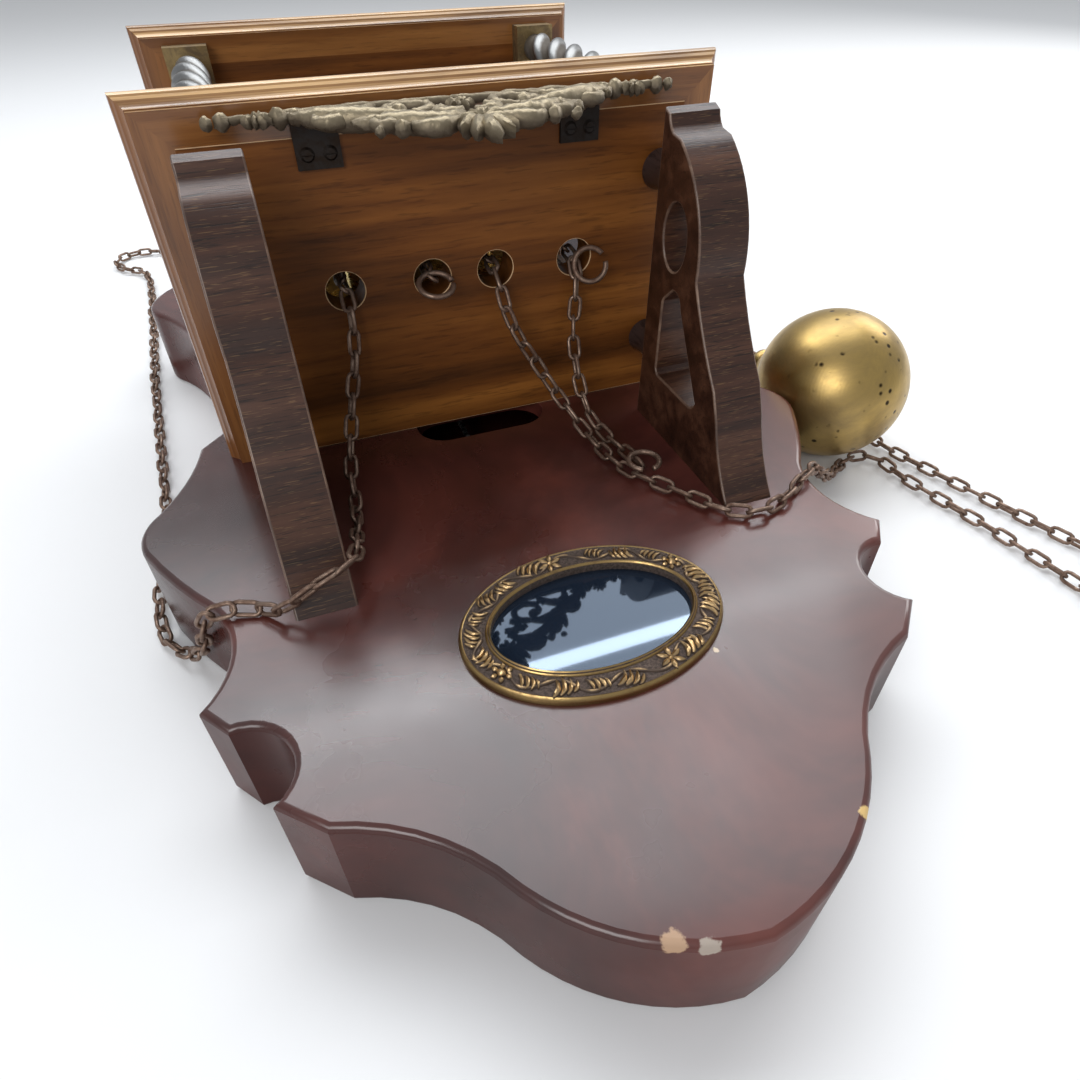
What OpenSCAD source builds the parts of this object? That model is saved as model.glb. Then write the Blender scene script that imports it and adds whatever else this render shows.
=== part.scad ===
// Dutch hooded wall clock with two chain-driven trains.
// It lies on its back: +Z is the clock's front, +Y its top and +X its right-hand side.
// The origin is under the middle of the case's back. Heights along the clock are measured
// from the bottom of the case and turned into Y by up().

/* [Case] */
// Length of the case, bottom to top
case_l = 571; // [560:1:700]
// Width of the case over its shoulders
case_w = 297; // [250:1:360]
// Thickness of the case, back to front
case_t = 45; // [38:0.5:60]
// Thickness of the back panel
back_t = 6; // [4:0.5:8]
// Thickness of the shaped front board
board_t = 8; // [5:0.5:10]
// Height of the pendulum window's centre above the bottom of the case
lens_h = 110.6; // [100:1:130]
// Width of the window's brass ring
lens_w = 95; // [80:1:110]
// Height of the window's brass ring
lens_l = 68; // [56:1:76]
// Width of the ring's band
lens_band = 11; // [8:0.5:12]
// Height of the ring above the front board
lens_rise = 4.5; // [2:0.5:8]

/* [Brackets] */
// Thickness of each bracket
bracket_t = 21.7; // [16:0.1:26]
// Distance from the centre line to the middle of a bracket
bracket_x = 85.9; // [70:0.1:92]
// Reach of the brackets out of the case
bracket_out = 129; // [110:1:135]
// Diameter of the turned feet under the hood
foot_d = 18; // [12:0.5:21]

/* [Hood] */
// Height of the hood's underside above the bottom of the case
hood_h = 251; // [245:1:260]
// Clear height between the hood's two boards
hood_gap = 146.3; // [140:0.5:180]
// Thickness of the floor board and of the top board
shelf_t = 14; // [10:0.5:18]
// Half width of the boards at their flat border
shelf_w = 107.6; // [100:0.1:120]
// Depth of the boards in front of the case, at their flat border
shelf_out = 137; // [130:0.5:150]
// Width of the moulded strip around the boards
strip_w = 11.5; // [9:0.5:14]
// How far the moulded edge stands out
strip_out = 4; // [2:0.5:6]
// Half width over the hood's side frames
side_x = 98; // [94:0.5:100]
// Diameter of the chain holes
chain_hole_d = 15.6; // [12:0.1:18]
// Diameter of the twisted columns
column_d = 17; // [12:0.5:19]
// Side of the square column blocks
block_w = 20; // [18:0.5:21]
// Depth of the pierced apron at its middle
apron_l = 58; // [40:1:64]
// Half width of the apron
apron_w = 86; // [70:1:92]

/* [Movement] */
// Distance from the centre arbor to each chain wheel, sideways
train_x = 31.5; // [29:0.5:36]
// Radius at which the chain runs on its wheel
chain_r = 17.9; // [15:0.1:20]
// Distance of the chains in front of the case
chain_out = 69.3; // [66:0.1:72]
// Diameter of the pendulum bob
bob_d = 46; // [34:1:50]
// Greatest outside width of a chain link
chain_d = 6.3; // [5:0.1:7]
// Largest diameter of the pear weights
pear_d = 76; // [60:1:80]
// Length of the pear weights
pear_l = 131; // [115:1:150]

/* [Hidden] */

e = 0.01;           // how far a cutter passes a face
run = 0.05;         // radial clearance of a turning fit
gap = 0.3;          // clearance between pieces that pass each other

// ---- Levels through the depth (Z) and up the clock (Y) ----
board_z = case_t - board_t;
front_z = case_t + shelf_out;       // flat border of the boards
chain_z = case_t + chain_out;
wheel_z = chain_z + 6.7;            // back of the going great wheel
strike_z = chain_z - 8;             // back of the strike great wheel, clear of the centre pinion
plate_t = 2;
back_plate_z = chain_z - 22.3;
front_plate_z = chain_z + 15.7;
dial_z = front_plate_z + 10;
frame_z = dial_z + 4;               // back of the front frame
door_z = frame_z + 8;               // back of the door
function up(h) = h - case_l / 2;
floor_y = up(hood_h);
floor_top = floor_y + shelf_t;
top_y = floor_top + hood_gap;
centre_y = floor_top + hood_gap / 2;        // hands and dial
chain_y = centre_y - 12;                    // chain wheels
lens_y = up(lens_h);

// ---- Outlines ----
// Points on a circular arc from a towards b that bulges by s to the right of the way from a to b
function arc(a, b, s, n = 8) =
  let (d = b - a, len = norm(d), r = (len * len / 4 + s * s) / (2 * abs(s)),
       side = sign(s) * [d.y, -d.x] / len, c = (a + b) / 2 - side * (r - abs(s)),
       start = atan2(a.y - c.y, a.x - c.x), turn = sign(s) * 4 * atan(2 * abs(s) / len))
  [for (i = [0 : n - 1]) c + r * [cos(start + turn * i / n), sin(start + turn * i / n)]];
function oval(w, l, n = 64) = [for (i = [0 : n - 1]) [w / 2 * cos(360 * i / n), l / 2 * sin(360 * i / n)]];
function mirrored(p) = [for (i = [len(p) - 1 : -1 : 0]) [-p[i].x, p[i].y]];

// Right-hand half of the case's outline, from the bottom up, for the nominal size
half_case = concat(
  arc([0, 0], [55, 32.3], 6.9, 10),
  arc([55, 32.3], [106, 68.3], -6.9),
  arc([111.5, 79.3], [125, 107.8], -14, 14),
  arc([130, 119.3], [123.4, 162.8], -7.4, 10),
  arc([123.4, 162.8], [147.1, 202.1], 1.3, 4),
  arc([147.1, 202.1], [142.5, 227.3], 3.9),
  arc([142.5, 227.3], [124.3, 276.6], -3.4),
  arc([112.6, 283.1], [112.6, 369.5], -14),
  arc([124.3, 376], [142.5, 425.3], -3.4),
  arc([142.5, 425.3], [147.1, 450.5], 3.9),
  arc([147.1, 450.5], [118, 478], 5, 6),
  arc([118, 478], [84, 502], -5),
  arc([80, 512], [60, 531], -7),
  arc([60, 531], [0, 571], 10.5, 12), [[0, 571]]);
case_kx = case_w / 297;
case_ky = case_l / 571;
function case_fit(p) = [for (q = p) [q.x * case_kx, (q.y - 571 / 2) * case_ky]];
case_half = case_fit(half_case);
case_outline = concat(case_half, mirrored(case_fit([for (i = [1 : len(half_case) - 2]) half_case[i]])));
// Hollow that the pendulum swings in, right-hand half
half_hollow = [[0, 24], [30, 28], [46, 46], [66, 80], [90, 92], [94, 110], [100, 150], [122, 205],
  [118, 232], [100, 262], [88, 290], [88, 372], [104, 400], [118, 440], [84, 468], [62, 490], [0, 505]];
hollow = case_fit(concat(half_hollow, mirrored([for (i = [1 : len(half_hollow) - 2]) half_hollow[i]])));

module slab(points, z0, z1) translate([0, 0, z0]) linear_extrude(z1 - z0) polygon(points);
module box(x, y, z) translate([x[0], y[0], z[0]]) cube([x[1] - x[0], y[1] - y[0], z[1] - z[0]]);
module rod(x, y, z0, z1, r) translate([x, y, z0]) cylinder(r = r, h = z1 - z0, $fn = 40);
// A rod along the clock's height
module post(x, z, y0, y1, r) translate([x, y0, z]) rotate([-90, 0, 0]) cylinder(r = r, h = y1 - y0, $fn = 40);
// Long hole with round ends, along X
module long_hole(x, y, w, l, z0, z1) {
  for (s = [-1, 1]) rod(x + s * (w - l) / 2, y, z0, z1, l / 2);
  box([x - (w - l) / 2, x + (w - l) / 2], [y - l / 2, y + l / 2], [z0, z1]);
}

// ---- Case ----
hanger_y = case_l / 2 - 48;
hanger_t = 2;
hanger_r = 4.5;
slot_w = 61;        // hole for reaching the pendulum, half hidden by the hood
slot_l = 26;
slot_y = floor_y - 2;
slot_x = 2;
crutch_hole = 24;
lens_open_w = lens_w - 2 * lens_band;
lens_open_l = lens_l - 2 * lens_band;
glass_lap = 3;
glass_t = 2;

module case_back() color("#5b3a2c") difference() {
  slab(case_outline, 0, back_t);
  box([-16, 16], [hanger_y - 22, hanger_y + 22], [-e, hanger_t]);
  rod(0, hanger_y, -e, back_t + e, hanger_r + 4);
}
module case_rim() color("#4a1f1b") difference() {
  slab(case_outline, back_t, board_z);
  slab(hollow, back_t - e, board_z + e);
}
module case_front() color("#4f2220") difference() {
  slab(case_outline, board_z, case_t);
  translate([0, lens_y, 0]) slab(oval(lens_open_w, lens_open_l), board_z - e, case_t + e);
  translate([0, lens_y, 0]) slab(oval(lens_open_w + 2 * glass_lap, lens_open_l + 2 * glass_lap),
    case_t - glass_t, case_t + e);
  long_hole(slot_x, slot_y, slot_w, slot_l, board_z - e, case_t + e);
  rod(0, anchor_y, board_z - e, case_t + e, crutch_hole / 2);
}
module hanger_plate() color("#8a8a86") difference() {
  box([-15.8, 15.8], [hanger_y - 21.8, hanger_y + 21.8], [0, hanger_t]);
  rod(0, hanger_y, -e, hanger_t + e, hanger_r);
}
module lens_ring() color("#7d5f30") difference() {
  union() {
    translate([0, lens_y, 0]) slab(oval(lens_w, lens_l), case_t, case_t + 2);
    translate([0, lens_y, 0]) slab(oval(lens_w - 3, lens_l - 3), case_t + 2, case_t + lens_rise);
  }
  translate([0, lens_y, 0]) slab(oval(lens_open_w, lens_open_l), case_t - e, case_t + lens_rise + e);
}
module lens_glass() color("#32404a") translate([0, lens_y, 0])
  slab(oval(lens_open_w + 2 * glass_lap - 0.4, lens_open_l + 2 * glass_lap - 0.4), case_t - glass_t, case_t);

// ---- Brackets and the feet that they carry ----
// Side view, [height, distance in front of the case]; heights count down from the hood
bracket_top = 22.4;                 // below the hood's underside
bracket_base = 104.5;               // lowest point of the bracket on the case
function from_hood(p) = [for (q = p) [-q.x, q.y * bracket_out / 129]];
bracket_side = from_hood(concat(
  [[bracket_top, 0], [bracket_top, 129]],
  arc([26.2, 127.5], [32, 121.1], 1.2, 4),
  arc([36, 121.1], [59, 76.6], -7, 12),
  arc([59, 76.6], [88, 35.5], 2, 6),
  [[87.2, 30.9]],
  arc([87.2, 30.9], [bracket_base, 0], 2, 6),
  [[bracket_base, 0]]));
// The lower opening, a triangle with rounded corners
bracket_opening = from_hood(concat(
  arc([35.7, 30], [39, 26], 1.2, 4), arc([66, 26], [70, 32], 1.4, 4),
  arc([50, 62], [41, 66], 3, 6), arc([37.5, 62], [35.7, 57], 1, 4)));
module bracket(side) color("#3b2820") difference() {
  translate([side * bracket_x - bracket_t / 2, floor_y, case_t]) rotate([0, 90, 0]) rotate([0, 0, 90])
    linear_extrude(bracket_t) difference() {
      polygon(bracket_side);
      polygon(bracket_opening);
      translate([-39.5, 87 * bracket_out / 129]) polygon(oval(18, 26, 32));
    }
}
module bun_feet() color("#33231c") for (s = [-1, 1], out = [28, 102])
  translate([s * bracket_x, floor_y, case_t + out * bracket_out / 129]) rotate([90, 0, 0]) rotate_extrude($fn = 48)
    polygon(concat([[0, 0], [5, 0]], arc([foot_d / 2 - 1, 3], [foot_d / 2 - 1, bracket_top - 4], -1, 16),
      [[5, bracket_top], [0, bracket_top]]));

// ---- Hood boards and their mouldings ----
// Moulding section: [distance outside the flat border, height above the underside]
strip_section = concat(
  [[-strip_w, 0], [0, 0], [0, 2]],
  arc([0.4, 2], [strip_out - 0.6, 5.4], -0.8, 6),
  [[strip_out - 0.6, 6.2]],
  arc([strip_out, 6.6], [strip_out, 10.4], 0.5, 6),
  [[strip_out - 1, 11], [strip_out - 1, shelf_t - 2]],
  arc([strip_out - 1, shelf_t - 2], [strip_out - 3, shelf_t], 0.6, 4),
  [[strip_out - 3, shelf_t], [-strip_w, shelf_t]]);
long = 400;         // longer than any strip before it is mitred
module strip(y) translate([0, y, 0]) {
  // front strip, cut by the mitres at both ends
  intersection() {
    translate([-long / 2, 0, front_z]) rotate([90, 0, 90]) linear_extrude(long)
      polygon([for (p = strip_section) [p.y, p.x]]);
    rotate([-90, 0, 0]) translate([0, 0, -1]) linear_extrude(shelf_t + 2)
      polygon([[-shelf_w - 10, -front_z - 10], [shelf_w + 10, -front_z - 10],
        [shelf_w - 30, -front_z + 30], [-shelf_w + 30, -front_z + 30]]);
  }
  for (s = [0, 1]) mirror([s, 0, 0]) intersection() {
    translate([shelf_w, 0, case_t]) linear_extrude(long) polygon(strip_section);
    rotate([-90, 0, 0]) translate([0, 0, -1]) linear_extrude(shelf_t + 2)
      polygon([[shelf_w + 10, -case_t], [shelf_w - 30, -case_t],
        [shelf_w - 30, -front_z + 30], [shelf_w + 10, -front_z - 10]]);
  }
}
module shelf(y) box([-shelf_w + strip_w, shelf_w - strip_w], [y, y + shelf_t], [case_t, front_z - strip_w]);
chain_x = [-train_x - chain_r, -train_x + chain_r, train_x - chain_r, train_x + chain_r];
module hood_floor() color("#7a4a1f") difference() {
  shelf(floor_y);
  for (x = chain_x) post(x, chain_z, floor_y - e, floor_top + e, chain_hole_d / 2);
  post(hinge_x, hinge_z, floor_top - pin_in - 0.3, floor_top + e, pin_r + run);
}
module floor_moulding() color("#a9682b") strip(floor_y);
module hood_top() color("#7a4a1f") difference() {
  shelf(top_y);
  post(hinge_x, hinge_z, top_y - e, top_y + pin_in + 0.3, pin_r + run);
}
module top_moulding() color("#a9682b") strip(top_y);

// ---- Hood sides and front frame ----
side_t = 8;
rail = 16;
module side_frame(s) color("#6f4319") difference() {
  box([min(s * side_x, s * (side_x - side_t)), max(s * side_x, s * (side_x - side_t))],
    [floor_top, top_y], [case_t, frame_z]);
  box([min(s * (side_x + e), s * (side_x - side_t - e)), max(s * (side_x + e), s * (side_x - side_t - e))],
    [floor_top + rail, top_y - rail], [case_t + rail, frame_z - rail]);
}
module side_glass() color("#9fb0b8") for (s = [-1, 1])
  translate([s * (side_x - side_t / 2), 0, 0])
    box([-1, 1], [floor_top + rail, top_y - rail], [case_t + rail, frame_z - rail]);
opening_x = 66;
module front_frame() color("#6f4319") difference() {
  box([-side_x, side_x], [floor_top, top_y], [frame_z, frame_z + 7.4]);
  box([-opening_x, opening_x], [floor_top + 8, top_y - 8], [frame_z - e, frame_z + 8]);
}

// ---- Door, hung on two pivot pins at its right-hand edge ----
door_x = 76;
door_t = 7;
stile = 12;
hinge_x = 73.5;
hinge_z = door_z + door_t + 1;
pin_r = 1.5;
pin_in = 6;
lug = 4;            // height of the lugs that hold the pins
module door_frame() color("#7f4d20") difference() {
  union() {
    box([-door_x, door_x], [floor_top + 1, top_y - 1], [door_z, door_z + door_t]);
    for (y = [floor_top + 1, top_y - 1 - lug]) hull() {
      box([hinge_x - 3, hinge_x + 2.5], [y, y + lug], [door_z + door_t - 1, door_z + door_t]);
      post(hinge_x, hinge_z, y, y + lug, 2.5);
    }
  }
  box([-door_x + stile, door_x - stile], [floor_top + 1 + stile, top_y - 1 - stile], [door_z - e, door_z + door_t + e]);
  for (y = [floor_top + 1 - e, top_y - 1 - lug - e])
    post(hinge_x, hinge_z, y, y + lug + 2 * e, pin_r);
}
module door_glass() color("#a8bcc4")
  box([-door_x + stile, door_x - stile], [floor_top + 1 + stile, top_y - 1 - stile], [door_z + 2, door_z + 4]);
module door_knob() color("#b08a3a") translate([-door_x + stile / 2, centre_y, door_z + door_t]) rotate_extrude($fn = 32)
  polygon(concat([[0, 0], [2, 0], [1.6, 2.5]], arc([1.6, 2.5], [0.2, 7], 2.4, 10), [[0, 7]]));
module door_pins() color("#b08a3a") {
  post(hinge_x, hinge_z, floor_top - pin_in, floor_top + 1 + lug, pin_r);
  post(hinge_x, hinge_z, top_y - 1 - lug, top_y + pin_in, pin_r);
}

// ---- Columns ----
column_x = 88.5;
column_z = front_z - block_w / 2 - 3;
block_t = 8;
module column(s) color("#8c8c86") translate([s * column_x, floor_top + block_t, column_z]) rotate([-90, 0, 0])
  linear_extrude(hood_gap - 2 * block_t, twist = s * 1080, slices = 72)
    polygon([for (a = [0 : 30 : 330]) (column_d / 2 - 1.3 + 1.3 * cos(2 * a)) * [cos(a), sin(a)]]);
module column_blocks() color("#a98b45") for (s = [-1, 1], y = [floor_top, top_y - block_t])
  box([s * column_x - block_w / 2, s * column_x + block_w / 2], [y, y + block_t],
    [column_z - block_w / 2, column_z + block_w / 2]);

// ---- Pierced apron under the front edge ----
apron_t = 3;
apron_z = front_z - strip_w + 4.5;
function apron_edge(x) = let (t = abs(x) / apron_w)
  6 + (apron_l - 6) * pow(1 - t, 1.15) * (1 + 0.1 * cos(t * 1440));
module apron() color("#8a8464") difference() {
  translate([0, floor_y, apron_z]) linear_extrude(apron_t) polygon(concat(
    [[-apron_w, 0], [-apron_w, -6]],
    [for (i = [-11 : 11]) [apron_w * i / 12, -apron_edge(apron_w * i / 12)]],
    [[apron_w, -6], [apron_w, 0]]));
  for (s = [-1, 1], p = [[12, 12, 5], [11, 27, 3.6], [27, 13, 5.5], [42, 11, 4.2], [56, 8, 2.6], [25, 26, 3]])
    rod(s * p[0], floor_y - p[1], apron_z - e, apron_z + apron_t + e, p[2]);
}
module apron_plates() color("#26221f") for (s = [-1, 1]) difference() {
  box([s * 50 - 8, s * 50 + 8], [floor_y - 1.5, floor_y], [apron_z - 15, apron_z]);
  for (d = [-4, 4]) post(s * 50 + d, apron_z - 10, floor_y - 2, floor_y + e, 1.5);
}
module apron_screws() color("#3a352f") for (s = [-1, 1], d = [-4, 4])
  translate([s * 50 + d, floor_y - 1.5, apron_z - 10]) rotate([90, 0, 0]) difference() {
    cylinder(r1 = 2.6, r2 = 1.8, h = 1, $fn = 24);
    translate([-3, -0.3, 0.5]) cube([6, 0.6, 1]);
  }

// ---- Dial and hands ----
dial_w = 136;
dial_t = 1.5;
ring_r = 62;
module dial_plate() color("#c9a24a") difference() {
  box([-dial_w / 2, dial_w / 2], [centre_y - dial_w / 2, centre_y + dial_w / 2], [dial_z, dial_z + dial_t]);
  rod(0, centre_y, dial_z - e, dial_z + dial_t + e, 4);
}
module chapter_ring() color("#e8e2cf") difference() {
  rod(0, centre_y, dial_z + dial_t, dial_z + dial_t + 1, ring_r);
  rod(0, centre_y, dial_z, dial_z + dial_t + 2, ring_r - 17);
}
// A hand that points up from the centre, with a pierced heart near its tip
module hand(l, w, z, t, hub, hole) translate([0, centre_y, z]) linear_extrude(t) difference() {
  union() {
    circle(r = hub, $fn = 40);
    polygon([[-w, 0], [w, 0], [w * 0.6, l * 0.62], [w * 2.1, l * 0.74], [w * 1.2, l * 0.84], [0, l],
      [-w * 1.2, l * 0.84], [-w * 2.1, l * 0.74], [-w * 0.6, l * 0.62]]);
  }
  circle(r = hole, $fn = 40);
  translate([0, l * 0.74]) circle(r = w * 0.9, $fn = 20);
}
hour_z = dial_z + dial_t + 2.5;
minute_z = hour_z + 2.8;
pipe_r = 3;
module hour_hand() color("#2a2a30") translate([0, centre_y, 0]) rotate([0, 0, 60]) translate([0, -centre_y, 0])
  hand(36, 2.2, hour_z, 1, 5.5, pipe_r);
module minute_hand() color("#2a2a30") translate([0, centre_y, 0]) rotate([0, 0, -60]) translate([0, -centre_y, 0])
  hand(52, 1.8, minute_z, 1, 4.5, 1.5);
module hand_nut() color("#b08a3a") difference() {
  rod(0, centre_y, minute_z + 1, minute_z + 3, 2.6);
  rod(0, centre_y, minute_z, minute_z + 4, 1.5);
}

// ---- Wheels ----
// A gear's outline: n teeth of module m, one tooth centred on angle a
function teeth(n, m, a) = [for (i = [0 : n - 1], p = [[-0.3, -1.2], [-0.11, 0.8], [0.11, 0.8], [0.3, -1.2]])
  let (r = m * (n / 2 + p[1]), t = a + (i + p[0]) * 360 / n) r * [cos(t), sin(t)]];
// A wheel with crossings: rim, hub and spokes
module wheel(x, y, z0, z1, n, m, a, hub, spokes = 5) translate([x, y, z0]) linear_extrude(z1 - z0) difference() {
  polygon(teeth(n, m, a));
  difference() {
    circle(r = m * n / 2 * 0.8, $fn = 60);
    circle(r = hub + 2, $fn = 40);
    for (i = [0 : spokes - 1]) rotate(i * 360 / spokes) translate([0, -1]) square([m * n / 2, 2]);
  }
  circle(r = hub, $fn = 40);
}
module pinion(x, y, z0, z1, n, m, a) translate([x, y, z0]) linear_extrude(z1 - z0) polygon(teeth(n, m, a));
function angle_to(a, b) = atan2(b.y - a.y, b.x - a.x);
// Angle of a pinion whose gap faces a wheel's tooth on the line of centres
function meshed(from, to, n) = angle_to(to, from) + 180 / n;

great_n = 72;
leaf_n = 8;
centre_n = 80;
third_n = 90;
pin_n = 64;
centre = [0, centre_y];
going = [train_x, chain_y];
strike = [-train_x, chain_y];
great_m = 2 * norm(centre - going) / (great_n + leaf_n);
centre_m = 0.5;
third_m = 0.4;
third_d = centre_m * (centre_n + leaf_n) / 2;
escape_d = third_m * (third_n + leaf_n) / 2;
third = [11, centre_y + sqrt(third_d * third_d - 121)];
escape = [0, third.y + sqrt(escape_d * escape_d - 121)];
anchor_y = escape.y + 19;
pin_d = 2 * norm(centre - going) / 2;
pin_at = strike + pin_d * [cos(75), sin(75)];
fly_at = pin_at + 18 * [-0.5, sqrt(0.75)];

centre_z = chain_z - 10.3;
third_z = centre_z - 6;
escape_z = centre_z + 4;
pin_z = centre_z - 2.5;
arbor_r = 1.5;
pivot_r = 0.8;
centre_r = 1.5;
z_back = back_plate_z;
z_front = front_plate_z + plate_t;

// An arbor between the plates, with a thin pivot at each end
module arbor(p, r = arbor_r) {
  rod(p.x, p.y, back_plate_z + plate_t + gap, front_plate_z - gap, r);
  rod(p.x, p.y, z_back, z_front, pivot_r);
}
module plate(z) difference() {
  box([-56, 56], [floor_top, top_y - 4], [z, z + plate_t]);
  for (p = [going, strike, third, escape, pin_at, fly_at]) rod(p.x, p.y, z - e, z + plate_t + e, pivot_r + run);
  rod(0, centre_y, z - e, z + plate_t + e, centre_r + run);
  rod(hammer_at.x, hammer_at.y, z - e, z + plate_t + e, arbor_r + run);
  rod(0, anchor_y, z - e, z + plate_t + e, arbor_r + run);
  box([-34, 34], [floor_top - e, centre_y - 35], [z - e, z + plate_t + e]);
}
module front_plate() color("#c2a050") {
  plate(front_plate_z);
  rod(stud.x, stud.y, front_plate_z, motion_z + 5.5, stud_r);
}
module back_plate() color("#c2a050") plate(back_plate_z);
pillar_x = train_x + chain_r - chain_d / 2 - 4.7;      // inside the outer chains
pillar_at = [[-pillar_x, floor_top + 22], [pillar_x, floor_top + 22], [-50, top_y - 10], [50, top_y - 10]];
module pillars() color("#b5923f") for (p = pillar_at) translate([p.x, p.y, back_plate_z + plate_t]) rotate_extrude($fn = 32)
  let (h = front_plate_z - back_plate_z - plate_t)
  polygon(concat([[0, 0], [4, 0], [4, 2]], arc([2.6, 4], [2.6, h - 4], 1, 10), [[4, h - 2], [4, h], [0, h]]));

// ---- Going train ----
flange_t = 1.2;
module chain_wheel(p) {
  core = chain_r - chain_d / 2 - 0.9;
  flange = chain_r + 2;
  groove = chain_d / 2 + 1;
  difference() {
    union() {
      rod(p.x, p.y, chain_z - groove, chain_z + groove, core);
      for (z = [chain_z - groove - flange_t, chain_z + groove]) rod(p.x, p.y, z, z + flange_t, flange);
    }
    rod(p.x, p.y, chain_z - 9, chain_z + 9, arbor_r + 1);
  }
}
module great_wheel(p, next, z) {
  wheel(p.x, p.y, z, z + 2.5, great_n, great_m, angle_to(p, next), arbor_r + 1);
  arbor(p, arbor_r + 1);
}
module going_chain_wheel() color("#9c8448") chain_wheel(going);
module going_great_wheel() color("#c7a557") great_wheel(going, centre, wheel_z);
module centre_wheel() color("#c7a557") {
  wheel(0, centre_y, centre_z, centre_z + 2, centre_n, centre_m, angle_to(centre, third), 2.4);
  pinion(0, centre_y, wheel_z - 1.5, wheel_z + 4, leaf_n, great_m, meshed(going, centre, leaf_n));
  rod(0, centre_y, back_plate_z + plate_t + gap, wheel_z - 1.5, 2.4);
  rod(0, centre_y, z_back, minute_z + 4, centre_r);
}
module third_wheel() color("#c7a557") {
  wheel(third.x, third.y, third_z, third_z + 1.5, third_n, third_m, angle_to(third, escape), arbor_r, 4);
  pinion(third.x, third.y, centre_z - 1, centre_z + 3, leaf_n, centre_m, meshed(centre, third, leaf_n));
  arbor(third, 1.2);
}
escape_n = 30;
escape_r = 15;
module escape_wheel() color("#c7a557") {
  translate([0, escape.y, escape_z]) linear_extrude(1.5) difference() {
    polygon([for (i = [0 : escape_n - 1], p = [[0, 1], [1.5, 0.88], [10.5, 0.88]])
      let (t = i * 360 / escape_n + p[0]) escape_r * p[1] * [cos(t), sin(t)]]);
    difference() {
      circle(r = escape_r * 0.76, $fn = 60);
      circle(r = 3.4, $fn = 40);
      for (i = [0 : 3]) rotate(i * 90) translate([0, -0.8]) square([escape_r, 1.6]);
    }
    circle(r = arbor_r, $fn = 40);
  }
  pinion(0, escape.y, third_z - 1, third_z + 3, leaf_n, third_m, meshed(third, escape, leaf_n));
  arbor(escape, 1.2);
}

// ---- Strike train ----
module strike_chain_wheel() color("#9c8448") chain_wheel(strike);
module strike_great_wheel() color("#c7a557") great_wheel(strike, pin_at, strike_z);
module pin_wheel() color("#c7a557") {
  wheel(pin_at.x, pin_at.y, pin_z, pin_z + 1.5, pin_n, 0.5, angle_to(pin_at, fly_at), arbor_r, 4);
  pinion(pin_at.x, pin_at.y, strike_z - 1, strike_z + 3.3, leaf_n, great_m, meshed(strike, pin_at, leaf_n));
  arbor(pin_at, 1.2);
  for (i = [0 : 7]) rod(pin_at.x + 13.6 * cos(45 * i), pin_at.y + 13.6 * sin(45 * i), pin_z - 3, pin_z + 0.5, 0.8);
}
module fly() color("#c7a557") {
  pinion(fly_at.x, fly_at.y, pin_z - 1, pin_z + 3, leaf_n, 0.5, meshed(pin_at, fly_at, leaf_n));
  arbor(fly_at, 1);
  box([fly_at.x - 10, fly_at.x + 10], [fly_at.y - 0.4, fly_at.y + 0.4], [pin_z + 8, pin_z + 20]);
}

// ---- Motion work behind the dial ----
stud = [12, centre_y];
stud_r = 1;
motion_z = front_plate_z + plate_t + 1;
module cannon_pinion() color("#8f8f8a") difference() {
  union() {
    pinion(0, centre_y, motion_z, motion_z + 2, 12, 0.5, 15);
    rod(0, centre_y, motion_z, minute_z, 2.4);
  }
  rod(0, centre_y, motion_z - e, minute_z + e, centre_r);
}
module minute_wheel() color("#c7a557") difference() {
  union() {
    wheel(stud.x, stud.y, motion_z + 0.3, motion_z + 1.7, 36, 0.5, 180, 1.5, 4);
    pinion(stud.x, stud.y, motion_z + 1.7, motion_z + 4.5, 12, 0.4, 15);
    rod(stud.x, stud.y, motion_z + 0.3, motion_z + 4.5, 2);
  }
  rod(stud.x, stud.y, motion_z, motion_z + 5, stud_r + run);
}
module hour_wheel() color("#c7a557") difference() {
  union() {
    translate([0, centre_y, motion_z + 2.6]) linear_extrude(1.4) polygon(teeth(48, 0.4, 0));
    rod(0, centre_y, motion_z + 2.6, hour_z + 1, pipe_r);
  }
  rod(0, centre_y, motion_z, hour_z + 2, 2.4 + run);
}

// ---- Escapement, crutch and pendulum ----
rod_z = (back_t + board_z) / 2;
pallet_gap = 1.8;       // clearance between pallets and teeth with the wheel at rest
module anchor() color("#9a9a96") {
  rod(0, anchor_y, rod_z + 5, z_front, arbor_r);
  translate([0, 0, escape_z]) linear_extrude(1.5) difference() {
    polygon([[-2.6, anchor_y + 2.6], [2.6, anchor_y + 2.6], [16.5, anchor_y - 5], [16.5, anchor_y - 12],
      [14, anchor_y - 12], [14, anchor_y - 6.5], [2.6, anchor_y - 1.6], [-2.6, anchor_y - 1.6], [-14, anchor_y - 6.5],
      [-14, anchor_y - 12], [-16.5, anchor_y - 12], [-16.5, anchor_y - 5]]);
    translate([0, escape.y]) circle(r = escape_r + pallet_gap, $fn = 80);
  }
}
crutch_l = 42;
module crutch() color("#9a9a96") {
  difference() {
    rod(0, anchor_y, rod_z + 5, rod_z + 7, 5);
    rod(0, anchor_y, rod_z + 4, rod_z + 8, arbor_r);
  }
  box([-2, 2], [anchor_y - crutch_l, anchor_y - 4.5], [rod_z + 5, rod_z + 7]);
  for (s = [-1, 1]) rod(s * 3.2, anchor_y - crutch_l + 2, rod_z - 2, rod_z + 5, 1);
  box([-4.2, 4.2], [anchor_y - crutch_l, anchor_y - crutch_l + 4], [rod_z + 5, rod_z + 7]);
}
module suspension_cock() color("#b08a3a") {
  box([-9, 9], [anchor_y - 12, anchor_y + 12], [back_t, back_t + 5]);
  rod(0, anchor_y, back_t + 5, rod_z + 3, 1);
}
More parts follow.
